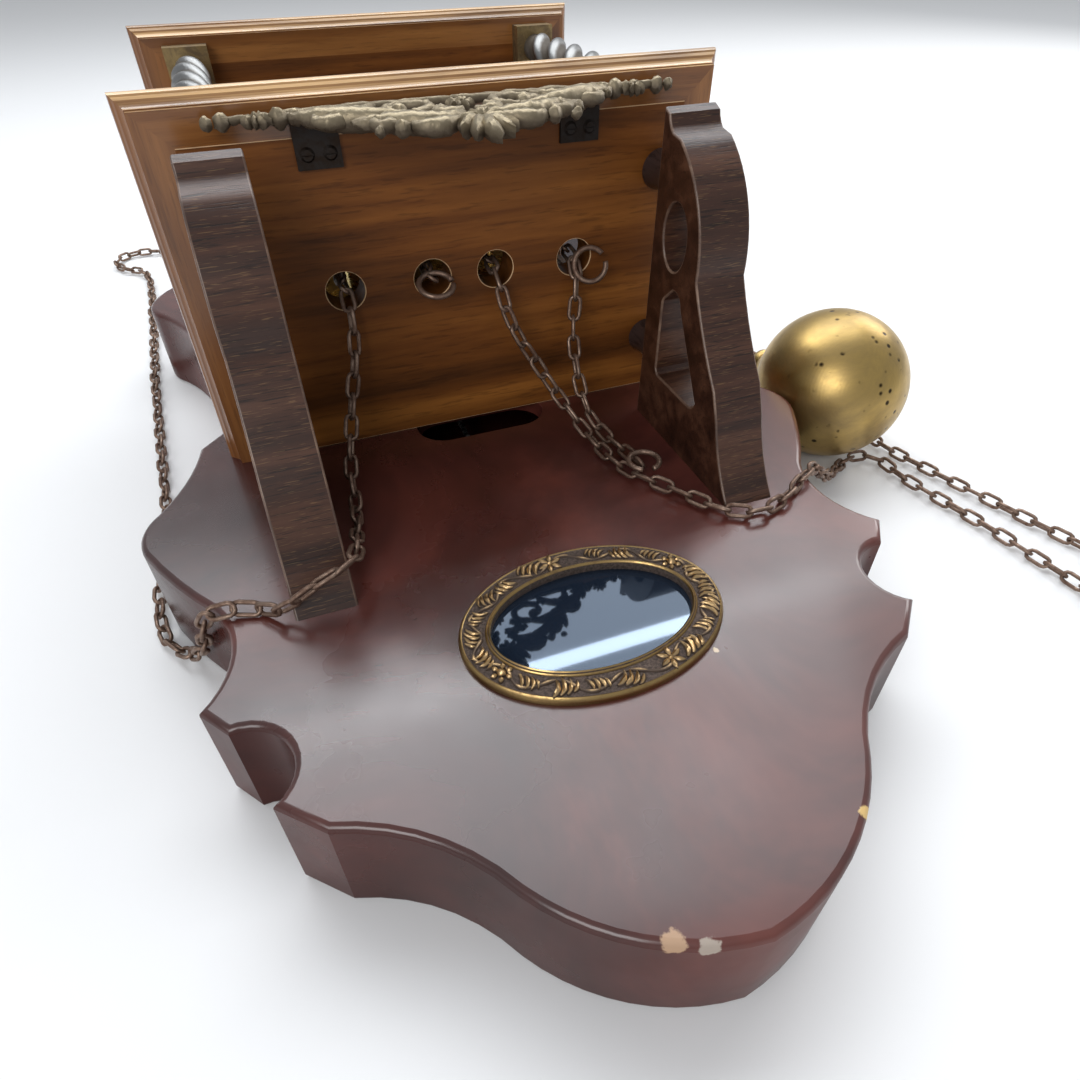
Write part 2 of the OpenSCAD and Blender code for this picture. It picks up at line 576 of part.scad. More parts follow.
module pendulum_rod() color("#7f7f7a") {
  difference() {
    rod(0, anchor_y, rod_z - 1.5, rod_z + 1.5, 3.2);
    rod(0, anchor_y, rod_z - 2, rod_z + 2, 1 + run);
  }
  post(0, rod_z, lens_y + bob_d / 2, anchor_y - 2.6, 1.4);
}
module pendulum_bob() color("#b9913d") translate([0, lens_y, rod_z]) rotate_extrude($fn = 64)
  polygon(concat(arc([0, -5], [bob_d / 2, -1], 1.2, 8), [[bob_d / 2, -1]], arc([bob_d / 2, 1], [0, 5], 1.2, 8), [[0, 5]]));

// ---- Gong and hammer ----
gong_at = [-34, centre_y - 13];
gong_z = case_t + 16;
gong_r = 40;
wire_r = 1.5;
gong_turns = 3;
gong_pitch = 7;
gong_n = 60;
// Ring i of a tube of radius r about the path p, with s sides
function ring_at(p, i, r, s) = let (
    d = p[min(i + 1, len(p) - 1)] - p[max(i - 1, 0)], t = d / norm(d),
    a = abs(t.z) < 0.9 ? [0, 0, 1] : [1, 0, 0], u = cross(a, t) / norm(cross(a, t)), v = cross(t, u))
  [for (k = [0 : s - 1]) p[i] + r * (cos(360 * k / s) * u + sin(360 * k / s) * v)];
module tube(p, r, s = 8) polyhedron(
  points = [for (i = [0 : len(p) - 1]) each ring_at(p, i, r, s)],
  faces = concat([[for (k = [0 : s - 1]) k]],
    [[for (k = [s - 1 : -1 : 0]) (len(p) - 1) * s + k]],
    [for (i = [0 : len(p) - 2], k = [0 : s - 1])
      [i * s + k, (i + 1) * s + k, (i + 1) * s + (k + 1) % s, i * s + (k + 1) % s]]));
module gong() color("#6d6a66") tube([for (i = [0 : gong_n]) let (t = -90 + 360 * gong_turns * i / gong_n,
    r = gong_r - gong_pitch * gong_turns * i / gong_n) [gong_at.x + r * cos(t), gong_at.y + r * sin(t), gong_z]], wire_r);
module gong_post() color("#4a4844") difference() {
  box([gong_at.x - 14, gong_at.x + 2], [gong_at.y - gong_r - 6, gong_at.y - gong_r + 4], [case_t, gong_z + 6]);
  translate([gong_at.x + 2.1, gong_at.y - gong_r - 1.5, gong_z]) rotate([0, -90, 0]) cylinder(r = 0.8, h = 4, $fn = 20);
}
hammer_at = [-52, centre_y + 47];
head_r = 6;
head_at = [gong_at.x + 2, gong_at.y + gong_r - gong_pitch / 2 + wire_r + head_r + 1];
module hammer() color("#8d8d88") {
  rod(hammer_at.x, hammer_at.y, gong_z - 2, z_front, arbor_r);
  slab(bar(hammer_at, head_at, 1.6), gong_z - 1, gong_z + 1);
  rod(head_at.x, head_at.y, gong_z - 5, gong_z + 5, head_r);
  slab(bar(hammer_at, pin_at + 16 * unit(hammer_at - pin_at), 1.2), pin_z - 2.5, pin_z - 1);
}
function unit(v) = v / norm(v);
// Outline of a straight bar from a to b, of half width w
function bar(a, b, w) = let (n = w * unit([a.y - b.y, b.x - a.x])) [a + n, a - n, b - n, b + n];

// ---- Chains, lying as they fall, with their rings and weights ----
// Over a chain wheel: up one side, round the top and down the other
function over(p, from, to) = concat(
  [for (h = [8, 28, 48]) [p.x + from * chain_r, floor_y + h, chain_z]],
  [for (i = [0 : 6]) [p.x + from * chain_r * cos(30 * i), p.y + chain_r * sin(30 * i), chain_z]],
  [for (h = [48, 28, 8]) [p.x + to * chain_r, floor_y + h, chain_z]]);
// Where a point given for the nominal clock lies once the case is longer or wider or a bracket thicker
long_by = (case_l - 571) / 2;
wide_by = (case_w - 297) / 2;
function clamp(v) = max(-1, min(1, v));
function laid(p) = [
  p.x + sign(p.x) * (wide_by * max(0, clamp((abs(p.x) - 105) / 15))
    - (abs(p.x) > 52 && abs(p.x) < 75 && p.y < -45 ? (bracket_t - 21.7) / 2 : 0)),
  p.y + long_by * clamp((p.y - 125) / (p.x > 180 ? 90 : 125)), p.z];
strike_path = concat([laid([-13.6, -31, 114.3])], over(strike, 1, -1), [for (p =
  [[-49.4, -34, 112.5], [-49.6, -40, 107], [-50.5, -43, 98], [-52.5, -47, 89], [-56, -52, 79], [-60, -60, 67],
   [-64, -72, 57], [-66, -88, 51], [-68, -104, 52], [-70, -118, 56.5], [-71.5, -129, 60.5], [-76, -136, 62],
   [-84, -138, 60.5], [-92, -139.5, 57], [-100, -137.5, 51.5], [-107, -132, 48.4], [-114, -129, 48.3],
   [-120, -128, 48.3], [-126, -126, 45], [-130, -122, 34], [-133, -116, 22], [-139, -107.5, 10.5],
   [-146, -98, 4], [-152.5, -87, 3.3], [-155, -71, 3.3], [-155, -52, 3.3], [-154, -32, 3.3], [-153, -12, 3.3],
   [-153, 8, 3.3], [-154, 28, 3.3], [-155, 48, 3.3], [-156, 68, 3.3], [-157, 88, 3.3], [-158, 108, 3.3],
   [-159, 128, 3.3], [-160, 148, 3.3], [-160, 168, 3.3], [-161, 188, 3.3], [-161, 208, 3.3], [-162, 228, 3.3],
   [-163, 248, 3.3], [-163, 268, 3.3], [-164, 288, 3.3], [-165, 306, 3.3], [-167, 322, 3.3], [-173, 336, 3.3],
   [-184, 345, 3.3], [-191, 357, 3.3], [-189, 371, 3.3], [-177, 379, 3.3], [-161, 378, 3.3], [-147, 368, 3.3],
   [-136, 355, 3.4], [-124, 345, 4.5]]) laid(p)]);
going_path = concat([for (p =
  [[53, -101, 49.5], [52, -90, 48.3], [49, -77, 49], [46, -66, 54], [44.5, -57, 64], [44.5, -50, 76],
   [45.5, -45, 88], [47.5, -42, 99], [49, -38, 108], [49.4, -33, 112.5]]) laid(p)],
  over(going, 1, -1), [for (p =
  [[13.6, -34, 112.5], [13.8, -41, 107], [15, -46, 98], [19, -49, 88], [25, -52, 77], [31, -57, 66],
   [37, -64, 56], [41, -74, 50], [43, -86, 48.3], [45, -98, 48.3], [50, -110, 48.3], [57, -120, 48.3],
   [64, -131, 48.3], [71, -141, 48.3], [81, -147, 48.3], [92, -147, 48.3], [103, -142, 48.3], [113, -136, 48.3],
   [122, -131, 47.5], [132, -125, 40], [143, -118, 29], [155, -109, 20], [167, -100, 12], [179, -91, 6],
   [190, -85, 3.6], [200, -84, 3.3], [207, -92, 3.3], [208, -106, 3.3], [211, -122, 3.3], [215, -139, 3.3],
   [219, -157, 3.3], [222, -176, 3.3], [225, -195, 3.3], [227, -213, 3.3], [231, -230, 3.3], [242, -240, 3.3],
   [254, -233, 3.3], [258, -217, 3.3], [254, -197, 3.3], [248, -178, 3.3], [242, -160, 3.3], [236, -141, 3.3],
   [230, -122, 3.3], [224, -103, 3.3], [219, -85, 3.3], [217, -67, 3.3], [218, -49, 3.3], [220, -31, 3.3],
   [221, -13, 3.3], [219, 4, 3.3], [213, 17, 4], [208, 25, 5]]) laid(p)]);
module going_chain() color("#5f4a3e") tube(going_path, chain_d / 2);
module strike_chain() color("#5f4a3e") tube(strike_path, chain_d / 2);

ring_wire = 1.15;
// A wire ring round p, its axis turned by the angles a
module wire_ring(p, a, r) translate(laid(p)) rotate(a) rotate_extrude($fn = 48) translate([r, 0]) circle(r = ring_wire, $fn = 16);
module chain_rings() color("#6e574a") {
  wire_ring([-13.6, -39.5, 113.5], [20, 0, 0], 7);
  wire_ring([55, -39.5, 112], [60, -20, 0], 7);
  wire_ring([53, -107, 53.4], [0, 0, 0], 6.5);
  wire_ring([-120, 341.5, 5.5], [60, 0, 30], 3.6);
  wire_ring([206.5, 28, 5.5], [60, 0, 100], 3.6);
}
// Pear weight: big end at the local origin, neck along +Z
pear_r = pear_d / 2;
neck_r = 7;
pear_side = concat([for (a = [-90 : 2.5 : 22.5]) pear_r * [cos(a), 1 + sin(a)]],
  arc([pear_r * cos(30), pear_r * 1.5], [neck_r + 1, pear_l - 18], -4, 24),
  [[neck_r, pear_l - 14], [neck_r + 1.5, pear_l - 12], [neck_r + 1.5, pear_l - 9], [neck_r - 3, pear_l - 7],
   [0, pear_l - 6.5]]);
eye_r = 4;
tilt = asin((pear_r - neck_r - 1.5) / (pear_l - 10 - pear_r));
// A weight whose big end rests on the table under p, its neck pointing along the table at angle a
module weight(p, a) translate([p.x, p.y, pear_r]) rotate([0, 90 + tilt, a]) translate([0, 0, -pear_r]) {
  rotate_extrude($fn = 72) polygon(pear_side);
  translate([0, 0, pear_l - 6.5 + eye_r - 1]) rotate([90, 0, 0]) rotate_extrude($fn = 40)
    translate([eye_r - 1.3, 0]) circle(r = 1.3, $fn = 16);
}
module weight_left() color("#a98238") weight(laid([-25, 332, 0]), 176);
module weight_right() color("#b58c3c") weight(laid([187, -61, 0]), 78);

case_back();
case_rim();
case_front();
hanger_plate();
lens_ring();
lens_glass();
bracket(-1);  // bracket_left
bracket(1);  // bracket_right
bun_feet();
hood_floor();
floor_moulding();
hood_top();
top_moulding();
side_frame(-1);  // side_frame_left
side_frame(1);  // side_frame_right
side_glass();
front_frame();
door_frame();
door_glass();
door_knob();
door_pins();
column(-1);  // column_left
column(1);  // column_right
column_blocks();
apron();
apron_plates();
apron_screws();
dial_plate();
chapter_ring();
hour_hand();
minute_hand();
hand_nut();
front_plate();
back_plate();
pillars();
going_chain_wheel();
going_great_wheel();
centre_wheel();
third_wheel();
escape_wheel();
strike_chain_wheel();
strike_great_wheel();
pin_wheel();
fly();
cannon_pinion();
minute_wheel();
hour_wheel();
anchor();
crutch();
suspension_cock();
pendulum_rod();
pendulum_bob();
gong();
gong_post();
hammer();
going_chain();
strike_chain();
chain_rings();
weight_left();
weight_right();
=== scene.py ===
# %% [markdown]
# # A hooded wall clock, lying on its back
# The clock's design comes as a fixed frame: every board, wheel and bracket is already there at its real
# size. This lesson dresses that frame. It replaces the plain solids that need softer or richer shapes,
# such as the chains, the lacquered case and the cast bronze, and gives every surface its own finish.
# All lengths are in metres, and `MM` turns the maker's millimetres into them.

# %% Load the frame
import math
import random

import bmesh
import bpy
from mathutils import Euler, Matrix, Vector


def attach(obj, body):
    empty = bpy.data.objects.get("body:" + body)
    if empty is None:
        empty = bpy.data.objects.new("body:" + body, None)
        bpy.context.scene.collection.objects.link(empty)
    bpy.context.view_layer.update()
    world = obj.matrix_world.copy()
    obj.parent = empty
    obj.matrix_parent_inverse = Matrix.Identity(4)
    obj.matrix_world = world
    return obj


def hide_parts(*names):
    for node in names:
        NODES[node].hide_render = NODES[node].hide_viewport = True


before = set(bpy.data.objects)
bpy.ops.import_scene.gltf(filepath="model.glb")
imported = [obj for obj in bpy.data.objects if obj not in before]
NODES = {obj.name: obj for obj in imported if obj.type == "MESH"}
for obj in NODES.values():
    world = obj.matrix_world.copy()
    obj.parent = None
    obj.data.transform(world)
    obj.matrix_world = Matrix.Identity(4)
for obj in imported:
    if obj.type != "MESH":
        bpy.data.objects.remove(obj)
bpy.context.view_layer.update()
MM = 0.001
SEED = 11

# %% [markdown]
# ## Camera
# The picture is taken from low over the foot of the clock with a wide lens. The camera's place and its
# three turns are written as a photographer would note them: heading, tilt down and a slight roll.

# %% Camera
CAMERA_AT = Vector((-76.9, -329.6, 235.9)) * MM
HEADING = math.radians(20.376)
TILT_DOWN = math.radians(41.813)
ROLL = math.radians(-0.442)
camera_data = bpy.data.cameras.new("camera")
camera_data.lens = 24.49
camera_data.sensor_width = 36
camera_data.clip_start = 10 * MM
camera = bpy.data.objects.new("camera", camera_data)
turn = Matrix.Rotation(-HEADING, 4, "Z") @ Matrix.Rotation(math.pi / 2 - TILT_DOWN, 4, "X")
camera.matrix_world = Matrix.Translation(CAMERA_AT) @ turn @ Matrix.Rotation(ROLL, 4, "Z")
bpy.context.scene.collection.objects.link(camera)
bpy.context.scene.camera = camera
print("camera at", tuple(round(v, 3) for v in CAMERA_AT), "m")

# %% [markdown]
# ## Helpers for meshes
# A finished piece keeps its object at the origin, with its place in its mesh. `piece` makes such an
# object, and `shape_of` copies a part of the frame and merges its loose triangles, so that it can be
# bevelled or reshaped. `grown` runs a Geometry Nodes tree and keeps what it made as plain mesh.

# %% Mesh helpers
def piece(name, mesh, body="clock", smooth=35):
    """An object at the origin that rides on a body, with edges sharper than `smooth` degrees kept."""
    obj = bpy.data.objects.new(name, mesh)
    bpy.context.scene.collection.objects.link(obj)
    mesh.shade_smooth()
    mesh.set_sharp_from_angle(angle=math.radians(smooth))
    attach(obj, body)
    return obj


def mesh_from(name, points, faces):
    mesh = bpy.data.meshes.new(name)
    mesh.from_pydata([tuple(p) for p in points], [], faces)
    mesh.validate()
    return mesh


def shape_of(node):
    """A copy of a CAD node as a bmesh, its triangles merged and its flat faces made whole."""
    form = bmesh.new()
    form.from_mesh(NODES[node].data)
    bmesh.ops.remove_doubles(form, verts=form.verts, dist=1e-6)
    bmesh.ops.dissolve_limit(form, angle_limit=math.radians(1), verts=form.verts, edges=form.edges)
    return form


def finished(form, name):
    """Turns a bmesh into a mesh."""
    mesh = bpy.data.meshes.new(name)
    form.to_mesh(mesh)
    form.free()
    return mesh


def flip_outward(mesh):
    """Turns every face of a closed mesh to look outwards."""
    form = bmesh.new()
    form.from_mesh(mesh)
    bmesh.ops.recalc_face_normals(form, faces=form.faces)
    form.to_mesh(mesh)
    form.free()


def grown(name, source, group, inputs, body="clock", smooth=35):
    """Runs a Geometry Nodes tree on a source mesh or curve and returns the plain piece it makes."""
    maker = bpy.data.objects.new(name + "_maker", source)
    bpy.context.scene.collection.objects.link(maker)
    modifier = maker.modifiers.new("grow", "NODES")
    modifier.node_group = group
    sockets = {s.name: s.identifier for s in group.interface.items_tree if s.item_type == "SOCKET"}
    for key, value in inputs.items():
        modifier[sockets[key]] = value
    graph = bpy.context.evaluated_depsgraph_get()
    mesh = bpy.data.meshes.new_from_object(maker.evaluated_get(graph))
    bpy.data.objects.remove(maker)
    mesh.name = name
    obj = piece(name, mesh, body, smooth)
    print(name, "has", len(mesh.polygons), "faces")
    return obj


print("mesh helpers are ready")

# %% [markdown]
# ## Helpers for nodes
# Geometry trees and materials are both built here from code. `add` makes one node and fills its inputs
# by name, so a tree reads as a list of steps. An input called `i0` is simply the node's first one.

# %% Node helpers
def add(tree, kind, place=None, **values):
    """Adds a node. A value goes to the input of that name; a socket there is linked."""
    node = tree.nodes.new(kind)
    for key, value in (place or {}).items():
        setattr(node, key, value)
    for key, value in values.items():
        key = key.replace("_", " ")
        socket = node.inputs[int(key[1:])] if key[0] == "i" and key[1:].isdigit() else node.inputs[key]
        if isinstance(value, bpy.types.NodeSocket):
            tree.links.new(value, socket)
        else:
            socket.default_value = value
    return node


def new_tree(name, inputs):
    """A Geometry Nodes tree with named inputs, each given as (name, socket type, default)."""
    tree = bpy.data.node_groups.new(name, "GeometryNodeTree")
    tree.interface.new_socket("Geometry", in_out="OUTPUT", socket_type="NodeSocketGeometry")
    tree.interface.new_socket("Geometry", in_out="INPUT", socket_type="NodeSocketGeometry")
    for label, kind, default in inputs:
        socket = tree.interface.new_socket(label, in_out="INPUT", socket_type=kind)
        if default is not None:
            socket.default_value = default
    return tree, tree.nodes.new("NodeGroupInput").outputs, tree.nodes.new("NodeGroupOutput").inputs[0]


print("node helpers are ready")

# %% [markdown]
# ## Floor and light
# A pale floor, a soft sky of even grey and three large soft lamps. The widest lamp hangs over the top of
# the clock, so that the lacquer mirrors it as a broad sheen on the lower half of the case. A narrow tube
# beside it draws one bright line across the window's glass.

# %% Floor and lamps
HALF, FLOOR_Z = 6.0, -0.2 * MM
floor_corners = [(-HALF, -HALF, FLOOR_Z), (HALF, -HALF, FLOOR_Z), (HALF, HALF, FLOOR_Z),
                 (-HALF, HALF, FLOOR_Z)]
floor = bpy.data.objects.new("floor", mesh_from("floor", floor_corners, [(0, 1, 2, 3)]))
bpy.context.scene.collection.objects.link(floor)
floor_paint = bpy.data.materials.new("floor_paint")
floor_paint.use_nodes = True
floor_inputs = floor_paint.node_tree.nodes["Principled BSDF"].inputs
floor_inputs["Base Color"].default_value = (0.82, 0.82, 0.82, 1)
floor_inputs["Roughness"].default_value = 0.6
floor.data.materials.append(floor_paint)

sky = bpy.data.worlds.new("sky")
sky.use_nodes = True
sky.node_tree.nodes["Background"].inputs["Color"].default_value = (0.93, 0.96, 1.0, 1)
sky.node_tree.nodes["Background"].inputs["Strength"].default_value = 0.52
bpy.context.scene.world = sky
bpy.context.scene.view_settings.view_transform = "Standard"


def softbox(name, place, aim, width, height, power, colour=(1, 1, 1)):
    """A flat rectangular lamp, sizes in metres and power in watts, turned towards a point."""
    data = bpy.data.lights.new(name, "AREA")
    data.shape = "RECTANGLE"
    data.size = width
    data.size_y = height
    data.energy = power
    data.color = colour
    lamp = bpy.data.objects.new(name, data)
    lamp.location = place
    lamp.rotation_euler = (Vector(aim) - Vector(place)).to_track_quat("-Z", "Y").to_euler()
    bpy.context.scene.collection.objects.link(lamp)


softbox("over_top", (0.15, 0.66, 1.35), (0, -0.1, 0), 1.9, 0.95, 20, (0.93, 0.96, 1.0))
softbox("tube_lamp", (0.5, 0.76, 1.32), (0.5, -0.18, 0), 1.8, 0.036, 3.0, (0.95, 0.98, 1.0))
softbox("left_front", (-1.0, -1.3, 1.0), (0, -0.05, 0.1), 0.9, 0.9, 14)
softbox("right_back", (1.5, 0.6, 0.8), (0.1, 0, 0.1), 0.7, 0.7, 7)
print("lamps:", [light.name for light in bpy.data.lights])

# %% [markdown]
# ## Chains
# A chain is one link repeated along a path, each turned a quarter from the last. Modelling hundreds by
# hand would be folly, so a Geometry Nodes tree resamples the path at the chain's pitch and sets a link
# on each point. The two paths repeat the design's own points: from the free end, over the chain wheel
# and out of the hood, then wherever the chain falls.

# %% Chain paths
CHAIN_R = 17.9
LINK_LONG, LINK_WIDE, LINK_WIRE = 12.0 * MM, 6.3 * MM, 1.75 * MM
PITCH = LINK_LONG - 2 * LINK_WIRE
FLOOR_Y = -34.5  # the hood floor's underside
CHAIN_Y = 40.65
CHAIN_Z = 114.3


def over(x, start, end):
    """Up one side of a chain wheel, round its top and down the other, in millimetres."""
    path = [(x + start * CHAIN_R, FLOOR_Y + h, CHAIN_Z) for h in (8, 28, 48)]
    for step in range(7):
        a = math.radians(30 * step)
        path.append((x + start * CHAIN_R * math.cos(a), CHAIN_Y + CHAIN_R * math.sin(a), CHAIN_Z))
    return path + [(x + end * CHAIN_R, FLOOR_Y + h, CHAIN_Z) for h in (48, 28, 8)]


STRIKE_PATH = [(-13.6, -31, 114.3)] + over(-31.5, 1, -1) + [
    (-49.4, -34, 112.5), (-49.6, -40, 107), (-50.5, -43, 98), (-52.5, -47, 89), (-56, -52, 79),
    (-60, -60, 67), (-64, -72, 57), (-66, -88, 51), (-68, -104, 52), (-70, -118, 56.5), (-71.5, -129, 60.5),
    (-76, -136, 62), (-84, -138, 60.5), (-92, -139.5, 57), (-100, -137.5, 51.5), (-107, -132, 48.4),
    (-114, -129, 48.3), (-120, -128, 48.3), (-126, -126, 45), (-130, -122, 34), (-133, -116, 22),
    (-139, -107.5, 10.5), (-146, -98, 4), (-152.5, -87, 3.3), (-155, -71, 3.3), (-155, -52, 3.3),
    (-154, -32, 3.3), (-153, -12, 3.3), (-153, 8, 3.3), (-154, 28, 3.3), (-155, 48, 3.3), (-156, 68, 3.3),
    (-157, 88, 3.3), (-158, 108, 3.3), (-159, 128, 3.3), (-160, 148, 3.3), (-160, 168, 3.3),
    (-161, 188, 3.3), (-161, 208, 3.3), (-162, 228, 3.3), (-163, 248, 3.3), (-163, 268, 3.3),
    (-164, 288, 3.3), (-165, 306, 3.3), (-167, 322, 3.3), (-173, 336, 3.3), (-184, 345, 3.3),
    (-191, 357, 3.3), (-189, 371, 3.3), (-177, 379, 3.3), (-161, 378, 3.3), (-147, 368, 3.3),
    (-136, 355, 3.4), (-124, 345, 4.5)]
GOING_PATH = [
    (53, -101, 49.5), (52, -90, 48.3), (49, -77, 49), (46, -66, 54), (44.5, -57, 64), (44.5, -50, 76),
    (45.5, -45, 88), (47.5, -42, 99), (49, -38, 108), (49.4, -33, 112.5)] + over(31.5, 1, -1) + [
    (13.6, -34, 112.5), (13.8, -41, 107), (15, -46, 98), (19, -49, 88), (25, -52, 77), (31, -57, 66),
    (37, -64, 56), (41, -74, 50), (43, -86, 48.3), (45, -98, 48.3), (50, -110, 48.3), (57, -120, 48.3),
    (64, -131, 48.3), (71, -141, 48.3), (81, -147, 48.3), (92, -147, 48.3), (103, -142, 48.3),
    (113, -136, 48.3), (122, -131, 47.5), (132, -125, 40), (143, -118, 29), (155, -109, 20),
    (167, -100, 12), (179, -91, 6), (190, -85, 3.6), (200, -84, 3.3), (207, -92, 3.3), (208, -106, 3.3),
    (211, -122, 3.3), (215, -139, 3.3), (219, -157, 3.3), (222, -176, 3.3), (225, -195, 3.3),
    (227, -213, 3.3), (231, -230, 3.3), (242, -240, 3.3), (254, -233, 3.3), (258, -217, 3.3),
    (254, -197, 3.3), (248, -178, 3.3), (242, -160, 3.3), (236, -141, 3.3), (230, -122, 3.3),
    (224, -103, 3.3), (219, -85, 3.3), (217, -67, 3.3), (218, -49, 3.3), (220, -31, 3.3), (221, -13, 3.3),
    (219, 4, 3.3), (213, 17, 4), (208, 25, 5)]


def in_metres(path):
    return [Vector(p) * MM for p in path]


def length_of(path):
    return sum((b - a).length for a, b in zip(path, path[1:]))


for label, path in (("strike path", STRIKE_PATH), ("going path", GOING_PATH)):
    print(label, "has", len(path), "points and is", round(length_of(in_metres(path)), 3), "m long")

# %% [markdown]
# ### One link and its tree
# A link is round wire bent to a flat oval, so it is one small ring of points swept round an oval line.
# The tree turns every second link by a quarter and adds a little random roll, since no chain lies quite
# straight. The roll comes from a fixed seed, so that the chain falls the same way each time.

# %% The chain tree
def link_mesh():
    """One oval link of round wire, its length along X."""
    straight = (LINK_LONG - LINK_WIDE) / 2
    bend = (LINK_WIDE - LINK_WIRE) / 2
    line = []
    for side in (1, -1):
        for step in range(6):
            a = math.radians(-90 + 36 * step) if side > 0 else math.radians(90 + 36 * step)
            line.append(Vector((side * straight + bend * math.cos(a), bend * math.sin(a), 0)))
    points, faces, sides = [], [], 7
    for i, p in enumerate(line):
        along = (line[(i + 1) % len(line)] - line[i - 1]).normalized()
        out = Vector((along.y, -along.x, 0))
        for k in range(sides):
            a = 2 * math.pi * k / sides
            points.append(p + (out * math.cos(a) + Vector((0, 0, 1)) * math.sin(a)) * LINK_WIRE / 2)
    for i in range(len(line)):
        j = (i + 1) % len(line)
        for k in range(sides):
            m = (k + 1) % sides
            faces.append((i * sides + k, i * sides + m, j * sides + m, j * sides + k))
    mesh = mesh_from("link", points, faces)
    flip_outward(mesh)
    return mesh


def chain_tree():
    tree, given, result = new_tree("chain", [
        ("Link", "NodeSocketObject", None), ("Pitch", "NodeSocketFloat", 0.009),
        ("First Turn", "NodeSocketFloat", 0.8), ("Looseness", "NodeSocketFloat", 0.2),
        ("Seed", "NodeSocketInt", SEED), ("Finish", "NodeSocketMaterial", None)])
    spline = add(tree, "GeometryNodeCurveSplineType", {"spline_type": "CATMULL_ROM"}, Curve=given["Geometry"])
    fine = add(tree, "GeometryNodeSetSplineResolution", Geometry=spline.outputs[0], Resolution=6)
    points = add(tree, "GeometryNodeCurveToPoints", {"mode": "LENGTH"}, Curve=fine.outputs[0],
                 Length=given["Pitch"])
    link = add(tree, "GeometryNodeObjectInfo", Object=given["Link"])
    facing = add(tree, "FunctionNodeAlignRotationToVector", {"axis": "X"}, Vector=points.outputs["Tangent"])
    index = add(tree, "GeometryNodeInputIndex")
    odd = add(tree, "ShaderNodeMath", {"operation": "MODULO"}, i0=index.outputs[0], i1=2.0)
    quarter = add(tree, "ShaderNodeMath", {"operation": "MULTIPLY_ADD"}, i0=odd.outputs[0], i1=math.pi / 2,
                  i2=given["First Turn"])
    low = add(tree, "ShaderNodeMath", {"operation": "MULTIPLY"}, i0=given["Looseness"], i1=-1.0)
    chance = add(tree, "FunctionNodeRandomValue", {"data_type": "FLOAT"}, i2=low.outputs[0],
                 i3=given["Looseness"], Seed=given["Seed"])
    roll = add(tree, "ShaderNodeMath", {"operation": "ADD"}, i0=quarter.outputs[0], i1=chance.outputs[1])
    twist = add(tree, "ShaderNodeCombineXYZ", X=roll.outputs[0])
    local = add(tree, "FunctionNodeRotateRotation", {"rotation_space": "LOCAL"}, Rotation=facing.outputs[0],
                Rotate_By=twist.outputs[0])
    links = add(tree, "GeometryNodeInstanceOnPoints", Points=points.outputs[0],
                Instance=link.outputs["Geometry"], Rotation=local.outputs[0])
    real = add(tree, "GeometryNodeRealizeInstances", Geometry=links.outputs[0])
    dressed = add(tree, "GeometryNodeSetMaterial", Geometry=real.outputs[0], Material=given["Finish"])
    tree.links.new(dressed.outputs[0], result)
    return tree


def curve_from(name, path):
    """A plain line through the points of a path."""
    curve = bpy.data.curves.new(name, "CURVE")
    curve.dimensions = "3D"
    spline = curve.splines.new("POLY")
    spline.points.add(len(path) - 1)
    for point, place in zip(spline.points, path):
        point.co = (*place, 1)
    return curve


link_model = bpy.data.objects.new("link_model", link_mesh())
CHAIN_TREE = chain_tree()
print("one link has", len(link_model.data.polygons), "faces; a link every", round(PITCH / MM, 1), "mm")

# %% [markdown]
# ### The two chains
# One tree serves both chains. Each becomes one plain mesh, which takes the place of the smooth tube that
# stood for it in the frame.

# %% Make the chains
chains = {}
for name, path, seed in (("going_chain", GOING_PATH, 3), ("strike_chain", STRIKE_PATH, 8)):
    line = in_metres(path)
    steel = bpy.data.materials.new(name + "_steel")
    chains[name] = grown(name + "_links", curve_from(name, line), CHAIN_TREE, {
        "Link": link_model, "Pitch": PITCH, "Seed": seed, "Finish": steel, "Looseness": 0.25}, smooth=180)
    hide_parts(name)

# %% [markdown]
# The chains are limp metal cords. For each, the script prints its real length and what it carries: the
# open wire rings and the weight at its end. The weights are solids of the frame and only need a finish.

# %% Wire rings and cords
def bent_wire(name, place, angles, radius, wire=0.00115, open_by=24):
    """A ring of round wire with a small gap, turned by three angles in degrees."""
    turn = Euler([math.radians(a) for a in angles]).to_matrix()
    around, sides = 40, 10
    points, faces = [], []
    for i in range(around + 1):
        a = math.radians(open_by / 2 + (360 - open_by) * i / around)
        out = Vector((math.cos(a), math.sin(a), 0))
        for k in range(sides):
            b = 2 * math.pi * k / sides
            local = out * (radius + wire * math.cos(b)) + Vector((0, 0, wire * math.sin(b)))
            points.append(Vector(place) + turn @ local)
    for i in range(around):
        for k in range(sides):
            m = (k + 1) % sides
            faces.append((i * sides + k, i * sides + m, (i + 1) * sides + m, (i + 1) * sides + k))
    faces.append(tuple(reversed(range(sides))))
    faces.append(tuple(around * sides + k for k in range(sides)))
    mesh = mesh_from(name, points, faces)
    flip_outward(mesh)
    return mesh


